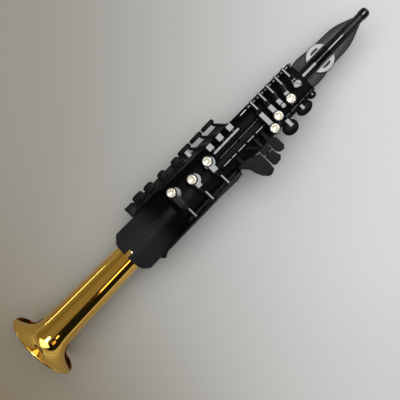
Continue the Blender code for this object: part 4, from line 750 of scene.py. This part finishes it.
def add_slit_touch(bm, touch, radius, top):
    """A round touch in two halves with a slanted groove between them."""
    centre = at(*touch, 0)
    across = Vector((0.86, 0.51, 0.0))
    for side in (-1, 1):
        half = bmesh.new()
        profile = [(0.0, top - 0.05), (radius * 0.6, top), (radius - 0.9, top - 0.1), (radius - 0.2, top - 0.5),
                   (radius, top - 1.2), (radius, ARM_TOP - 2.4), (0.0, ARM_TOP - 2.4)]
        add_spun(half, profile, centre, (0, 0, 1), 44, closed=False)
        bmesh.ops.remove_doubles(half, verts=half.verts, dist=0.0005 * MM)
        everything = half.verts[:] + half.edges[:] + half.faces[:]
        made = bmesh.ops.bisect_plane(half, geom=everything, plane_co=centre + across * (side * 0.9 * MM),
                                      plane_no=across * -side, clear_outer=True)
        bmesh.ops.holes_fill(half, edges=[g for g in made["geom_cut"] if isinstance(g, bmesh.types.BMEdge)])
        join_into(bm, half)
    add_spun(bm, [(0.0, top - 2.0), (radius - 0.6, top - 2.0), (radius - 0.6, ARM_TOP - 2.2), (0.0, ARM_TOP - 2.2)],
             centre, (0, 0, 1), 36, closed=False)


def join_into(bm, other):
    """Add one bmesh to another and free it."""
    mesh = mesh_from("joined", other)
    bm.from_mesh(mesh)
    bpy.data.meshes.remove(mesh)


def make_side_keys():
    """Side keys with flat-topped tubes, square pads, slanted arms and arched touches."""
    y, z = SIDE_ROD
    for name, low, high, arm_x, touch_low, touch_high in SIDE_KEYS:
        bm = bmesh.new()
        add_tube(bm, low, high, y, z)
        add_strip(bm, at(low, y, z + 1.3), at(high, y, z + 1.3), 4.9, 2.6)
        neck_x = max(arm_x, low + 3.4)
        add_strip(bm, at(neck_x, y + 1.0, z), at(arm_x, y + 6.5, z - 0.2), 5.0, 1.8, 0.5)
        outline = [at(arm_x + a, y + b, 0) for a, b in ((-4.5, 5.2), (4.5, 5.2), (4.5, 14.0), (-4.5, 14.0))]
        add_plate(bm, outline, at(0, 0, z - 1.0).z, at(0, 0, z + 1.6).z, 0.4)
        end_x = touch_high - 4.0
        path = [at(arm_x, y + 11, z - 0.2), at(arm_x - 2, y + 15, z - 0.5), at(end_x + 5, 35, 17.3),
                at(end_x + 1, 39.5, 14.8), at(end_x, TOUCH_Y, 12.5)]
        add_bar(bm, path, [5.8, 5.0, 4.6, 4.6, 5.0], 2.0, [0.5, 0.7, 0.7, 0.7, 0.4])
        arch = [(touch_low, 9.5), (touch_low + 1.2, 11.4), (touch_low + 3.0, 12.7),
                ((touch_low * 2 + touch_high) / 3, 13.8), ((touch_low + touch_high) / 2, 14.0),
                ((touch_low + touch_high * 2) / 3, 13.8), (touch_high - 3.0, 12.9), (touch_high - 1.2, 12.0),
                (touch_high, 10.5)]
        before = set(bm.faces)
        add_bar(bm, [at(x, TOUCH_Y, rise) for x, rise in arch], [5.2, 5.8, *[6.2] * 5, 5.8, 5.2], 2.2, [0.3] * 9)
        for face in set(bm.faces) - before:
            face.material_index = 1
        if name == "side_key_b_flat":
            add_strip(bm, at(touch_low + 9, 33.5, 12.0), at(touch_low + 9, TOUCH_Y, 12.0), 7.0, 2.0)
        finish_piece(f"{name}_lacquered", bm, "key", name, second="touch", weighted=True)


def make_palm_keys():
    """Palm keys with smooth domed touches."""
    y, z = PALM_ROD
    for name, low, high, middle_x, half_length, middle_y, half_width, shift in PALM_KEYS:
        bm = bmesh.new()
        add_tube(bm, low, high, y, z)
        wide = half_width * 0.64
        arm_x = middle_x + shift
        add_bar(bm, [at(arm_x, y + 1.4, z + 1.2), at(arm_x, y - 3.6, z + 2.7), at(arm_x, middle_y, z + 2.7)],
                [wide, wide, wide], 2.4, [0.0, 0.0, 0.0])
        made = bmesh.ops.create_uvsphere(bm, u_segments=44, v_segments=24, radius=1.0)
        for face in {f for v in made["verts"] for f in v.link_faces}:
            face.material_index = 1
        for vert in made["verts"]:
            deep = 4.2 if vert.co.z > 0 else 1.5
            vert.co = at(middle_x + vert.co.x * half_length, middle_y + vert.co.y * half_width,
                         z - 0.4 + vert.co.z * deep)
        finish_piece(f"{name}_lacquered", bm, "key", name, second="touch", weighted=True)


def make_plain_keys():
    """Low touches, the little-finger table and the octave key, with rounded edges."""
    for node in ("low_c_key", "low_e_flat_key", "alternate_f_sharp_key", "high_f_sharp_key"):
        dress(node, "touch", 0.4)
    for node, lands in TABLE_LANDS.items():
        bm = softened(node, 0.4)
        before = set(bm.faces)
        for low, high in lands:
            add_land(bm, low, high, *TABLE_ROD)
        for face in set(bm.faces) - before:
            face.material_index = 1
        finish_piece(f"{node}_finished", bm, "touch", node, tidy=False, second="key", weighted=True)
    dress("octave_key", "key", 0.4)


def make_back_fittings():
    """Thumb hook, strap ring, thumb rest, buttons and the octave key's mount."""
    dress("thumb_hook", "key", 0.7, 3)
    dress("thumb_hook_base", "steel", 0.4)
    dress("strap_ring", "steel", 0.5, 3, 40.0)
    dress("octave_key_mount", "steel", 0.3)
    profile = [(9.0, 0.0), (8.9, 0.8), (8.4, 2.4), (7.6, 3.3), (6.9, 3.5)]
    for k in range(4):
        r = 6.2 - 1.4 * k
        profile += [(r, 3.5), (r - 0.25, 3.15), (r - 0.55, 3.15), (r - 0.8, 3.5)]
    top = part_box("thumb_rest")[1].z
    turn_piece("thumb_rest_ribbed", "thumb_rest", "rubber", profile + [(0.0, 3.5), (0.0, 0.0)],
               middle_at("thumb_rest", top), (0, 0, -1), 48)
    profile = [(0.0, 0.45), (2.0, 0.3), (2.6, 0.02), (3.0, 0.1), (3.35, 0.5), (3.4, 2.8), (3.0, 2.8), (3.0, 4.2),
               (4.3, 4.2), (4.3, 5.4), (0.0, 5.4)]
    for node in ("power_button", "volume_down_button", "volume_up_button"):
        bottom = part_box(node)[0].z
        turn_piece(f"{node}_dished", node, "touch", profile, middle_at(node, bottom), (0, 0, 1), 36)


# ---------------- stage

def make_stage(stage):
    """Pale sheet, camera, lamps and a plain room."""
    bm = bmesh.new()
    bmesh.ops.create_grid(bm, x_segments=1, y_segments=1, size=6.0)
    add_object("sheet_floor", mesh_from("sheet_floor", bm, painted_light_floor_finish(stage)))
    lens = bpy.data.cameras.new("photo_camera")
    lens.sensor_width, lens.lens = CAMERA_SENSOR, CAMERA_LENS
    lens.clip_start, lens.clip_end = 0.01, 50.0
    camera = add_object("photo_camera", lens)
    turn = Matrix((PHOTO_RIGHT, PHOTO_UP, Vector((0, 0, 1)))).transposed().to_4x4()
    camera.matrix_world = Matrix.Translation(at(*CAMERA_SPOT)) @ turn
    bpy.context.scene.camera = camera
    for lamp, power in zip(LAMPS, (stage.key_power, stage.fill_power)):
        add_lamp(*lamp, power, COOL, is_card=False)
    for name, spot, aim, width, depth, light, colour, roll in CARDS:
        power = (stage.card_light if light is None else light) * math.pi * width * depth
        card = add_lamp(name, spot, aim, width, depth, power, colour, is_card=True)
        rolled = card.rotation_euler.to_matrix() @ Matrix.Rotation(math.radians(roll), 3, "Z")
        card.rotation_euler = rolled.to_euler()
    add_shade()
    make_room(stage)
    bpy.context.scene.view_settings.view_transform = "Standard"


def add_shade():
    """Two dark cards on the sheet beside the bell's rim, shown only in the gloss of its back: painted shade that the
    flare reflects.
    """
    bm = bmesh.new()
    for side in (-1, 1):
        corners = [at(x, side * y, 0) for x, y in SHADE_CORNERS]
        bm.faces.new([bm.verts.new((p.x, p.y, SHADE_HEIGHT * MM)) for p in corners])
    mesh = mesh_from("shade_cards", bm)
    cards = add_object("shade_cards", mesh)
    mesh.materials.append(surface("dark_card", (0.012, 0.006, 0.002), (0.016, 0.008, 0.002), 0.9, 0.95, scale=400.0,
                                  relief=0, Specular_IOR_Level=0.0))
    cards.visible_camera = cards.visible_diffuse = cards.visible_shadow = False


def add_lamp(name, spot, aim, width, depth, power, colour, is_card):
    """A rectangular lamp; a card shows only in gloss, and a lamp only in what it lights."""
    data = bpy.data.lights.new(name, "AREA")
    data.shape = "RECTANGLE"
    data.size, data.size_y = width, depth
    data.energy = power
    data.color = colour
    lamp = add_object(name, data)
    lamp.location = spot
    lamp.rotation_euler = (Vector(aim) - Vector(spot)).to_track_quat("-Z", "Y").to_euler()
    lamp.visible_camera = False
    lamp.visible_diffuse, lamp.visible_glossy = not is_card, is_card
    return lamp


def painted_light_floor_finish(stage):
    """Pale paper with painted light and shade: its tone changes slowly, paler from the bell towards the neck, darker
    to a corner and down the picture.
    """
    material = bpy.data.materials.new("pale_sheet")
    material.use_nodes = True
    tree = material.node_tree
    shader = tree.nodes["Principled BSDF"]
    shader.inputs["Roughness"].default_value = 0.85
    shader.inputs["Specular IOR Level"].default_value = 0.15
    place = tree.nodes.new("ShaderNodeTexCoord").outputs["Object"]
    shares = []
    for heading, start, end in SHEET_LIGHT_TURNS:
        along = add_node(tree, "ShaderNodeVectorMath", {0: place, 1: heading}, operation="DOT_PRODUCT")
        shares.append(progress(tree, along.outputs["Value"], start, end, interpolation_type="SMOOTHSTEP"))
    tone = mix_colours(tree, shares[0], stage.sheet_shade_near_bell, stage.sheet_light_near_neck)
    tone = mix_colours(tree, shares[1], stage.sheet_shade_corner, tone)
    tone = mix_colours(tree, shares[2], tone, SHEET_FOOT_SHADE, blend_type="MULTIPLY")
    tree.links.new(tone, shader.inputs["Base Color"])
    fibre = add_node(tree, "ShaderNodeTexNoise", {"Scale": 900.0, "Vector": place})
    add_relief(tree, fibre.outputs["Fac"], 0.08, 0.0002)
    return material


def make_room(stage):
    """A plain room: pale at the horizon and below, darker overhead, a little warmer on one side."""
    world = bpy.data.worlds.new("plain_room")
    world.use_nodes = True
    bpy.context.scene.world = world
    tree = world.node_tree
    place = tree.nodes.new("ShaderNodeTexCoord")
    heading = add_node(tree, "ShaderNodeSeparateXYZ", {"Vector": place.outputs["Generated"]})
    halved = add_node(tree, "ShaderNodeMath", {0: heading.outputs["Y"], 1: 0.5, 2: 0.5}, operation="MULTIPLY_ADD")
    upper = add_node(tree, "ShaderNodeValToRGB", {"Fac": halved.outputs[0]})
    stops = upper.color_ramp.elements
    dim = tuple(c * k for c, k in zip(stage.room_warm, (0.72, 0.74, 0.5)))
    for across, colour in ((-0.38, stage.room_dark), (-0.20, stage.room_warm), (0.46, stage.room_warm), (0.56, dim),
                           (0.84, dim), (0.90, stage.room_warm)):
        stops.new(across * 0.5 + 0.5).color = (*colour, 1.0)
    stops.remove(stops[len(stops) - 1])
    stops.remove(stops[0])
    horizon = mix_colours(tree, progress(tree, heading.outputs["Y"], 0.0, -0.5), stage.room_pale, stage.room_bright)
    rise = progress(tree, heading.outputs["Z"], 0.12, 0.30, interpolation_type="SMOOTHSTEP")
    whole = mix_colours(tree, rise, horizon, upper.outputs["Color"])
    tree.links.new(whole, tree.nodes["Background"].inputs["Color"])


# ---------------- add-on

def colour_property(name, description, default):
    """A colour that the panel shows."""
    return bpy.props.FloatVectorProperty(name=name, description=description, subtype="COLOR", default=default,
                                         min=0.0, max=1.0)


class SaxophoneSizes(bpy.types.PropertyGroup):
    """Fineness of the turned pieces."""

    bell_steps: bpy.props.IntProperty(name="Bell steps", description="Steps round the bell", default=144, min=24)
    bell_rings: bpy.props.IntProperty(name="Bell rings", description="Rings along the bell", default=64, min=16)


class SaxophoneLook(bpy.types.PropertyGroup):
    """Colours of the instrument."""

    brass: colour_property("Brass", "Gold lacquer over brass", (0.84, 0.52, 0.11))
    key_lacquer: colour_property("Key lacquer", "Gloss black of the keys", (0.0025, 0.0025, 0.003))
    key_ior: bpy.props.FloatProperty(name="Key gloss", description="Index of refraction of the key lacquer",
                                     default=1.33, min=1.1, max=3.0)
    cover: colour_property("Cover", "Satin black of the covers", (0.0058, 0.0058, 0.0065))
    neck_plate: colour_property("Neck plate", "Charcoal of the neck plate", (0.022, 0.022, 0.024))
    pearl: colour_property("Pearl", "Pearl of the touches", (0.68, 0.66, 0.56))


class SaxophoneStage(bpy.types.PropertyGroup):
    """Light and floor."""

    key_power: bpy.props.FloatProperty(name="Key lamp", description="Power of the soft lamp", default=44.0,
                                       subtype="POWER", unit="POWER")
    fill_power: bpy.props.FloatProperty(name="Fill lamp", description="Power of the lamp at the neck's side",
                                        default=26.0, subtype="POWER", unit="POWER")
    card_light: bpy.props.FloatProperty(name="Key card", description="Brightness of the card the keys reflect",
                                        default=22.5, min=0.0)
    # The sheet's colours are painted light and shade: darker near the bell and beyond it, paler near the neck.
    sheet_shade_near_bell: colour_property("Sheet near the bell", "Floor colour", (0.275, 0.265, 0.235))
    sheet_light_near_neck: colour_property("Sheet near the neck", "Floor colour", (0.62, 0.63, 0.65))
    sheet_shade_corner: colour_property("Sheet beyond the bell", "Floor colour", (0.195, 0.150, 0.080))
    room_pale: colour_property("Horizon", "Colour of the room near the horizon", (0.42, 0.41, 0.38))
    room_bright: colour_property("Bright horizon", "Horizon on the right-hand side", (0.66, 0.66, 0.62))
    room_dark: colour_property("Dark side", "Colour of the room on the left-hand side", (0.015, 0.015, 0.015))
    room_warm: colour_property("Warm side", "Colour of the room on the right-hand side", (0.31, 0.27, 0.21))


class SAXOPHONE_OT_bell(bpy.types.Operator):
    """Turn the bell, its collar and the speaker behind it"""

    bl_idname = "saxophone.bell"
    bl_label = "Bell"

    def execute(self, context):
        make_bell(context.scene.saxophone_sizes)
        return {"FINISHED"}


class SAXOPHONE_OT_housing(bpy.types.Operator):
    """Finish the covers, guards and inner pieces"""

    bl_idname = "saxophone.housing"
    bl_label = "Housing"

    def execute(self, context):
        make_housing()
        return {"FINISHED"}


class SAXOPHONE_OT_rods(bpy.types.Operator):
    """Finish the hinge rods and their slotted ends"""

    bl_idname = "saxophone.rods"
    bl_label = "Hinge rods"

    def execute(self, context):
        make_rods()
        return {"FINISHED"}


class SAXOPHONE_OT_neck(bpy.types.Operator):
    """Finish the neck plate, tube, brace and saddle"""

    bl_idname = "saxophone.neck"
    bl_label = "Neck"

    def execute(self, context):
        make_neck()
        return {"FINISHED"}


class SAXOPHONE_OT_finger_keys(bpy.types.Operator):
    """Build the pearl keys, bis and front F"""

    bl_idname = "saxophone.finger_keys"
    bl_label = "Finger keys"

    def execute(self, context):
        make_finger_keys()
        make_small_keys()
        make_pearls()
        return {"FINISHED"}


class SAXOPHONE_OT_side_keys(bpy.types.Operator):
    """Build the side keys and palm keys"""

    bl_idname = "saxophone.side_keys"
    bl_label = "Side and palm keys"

    def execute(self, context):
        make_side_keys()
        make_palm_keys()
        return {"FINISHED"}


class SAXOPHONE_OT_plain_keys(bpy.types.Operator):
    """Finish the low touches, the table keys and the octave key"""

    bl_idname = "saxophone.plain_keys"
    bl_label = "Low, table and octave keys"

    def execute(self, context):
        make_plain_keys()
        return {"FINISHED"}


class SAXOPHONE_OT_back(bpy.types.Operator):
    """Finish the thumb hook, strap ring, thumb rest and buttons"""

    bl_idname = "saxophone.back"
    bl_label = "Back fittings"

    def execute(self, context):
        make_back_fittings()
        return {"FINISHED"}


class SAXOPHONE_OT_stage(bpy.types.Operator):
    """Lay the sheet and place the camera, lamps and room"""

    bl_idname = "saxophone.stage"
    bl_label = "Stage"

    def execute(self, context):
        make_stage(context.scene.saxophone_stage)
        return {"FINISHED"}


OPERATORS = (SAXOPHONE_OT_bell, SAXOPHONE_OT_housing, SAXOPHONE_OT_rods, SAXOPHONE_OT_neck,
             SAXOPHONE_OT_finger_keys, SAXOPHONE_OT_side_keys, SAXOPHONE_OT_plain_keys, SAXOPHONE_OT_back,
             SAXOPHONE_OT_stage)


class SAXOPHONE_PT_panel(bpy.types.Panel):
    """Lists the pieces that can be built"""

    bl_idname = "SAXOPHONE_PT_panel"
    bl_label = "Soprano saxophone"
    bl_space_type = "VIEW_3D"
    bl_region_type = "UI"
    bl_category = "Saxophone"

    def draw(self, context):
        layout = self.layout
        for operator in OPERATORS:
            layout.operator(operator.bl_idname)
        for group in (context.scene.saxophone_sizes, context.scene.saxophone_look, context.scene.saxophone_stage):
            box = layout.box()
            for name in group.__annotations__:
                box.prop(group, name)


GROUPS = {"saxophone_sizes": SaxophoneSizes, "saxophone_look": SaxophoneLook, "saxophone_stage": SaxophoneStage}


def register():
    for item in (*GROUPS.values(), *OPERATORS, SAXOPHONE_PT_panel):
        bpy.utils.register_class(item)
    for name, group in GROUPS.items():
        setattr(bpy.types.Scene, name, bpy.props.PointerProperty(type=group))


def unregister():
    for name in GROUPS:
        delattr(bpy.types.Scene, name)
    for item in reversed((*GROUPS.values(), *OPERATORS, SAXOPHONE_PT_panel)):
        bpy.utils.unregister_class(item)


def main():
    register()
    bpy.ops.saxophone.stage()
    bpy.ops.saxophone.bell()
    bpy.ops.saxophone.housing()
    bpy.ops.saxophone.rods()
    bpy.ops.saxophone.neck()
    bpy.ops.saxophone.finger_keys()
    bpy.ops.saxophone.side_keys()
    bpy.ops.saxophone.plain_keys()
    bpy.ops.saxophone.back()


if __name__ == "__main__":
    main()
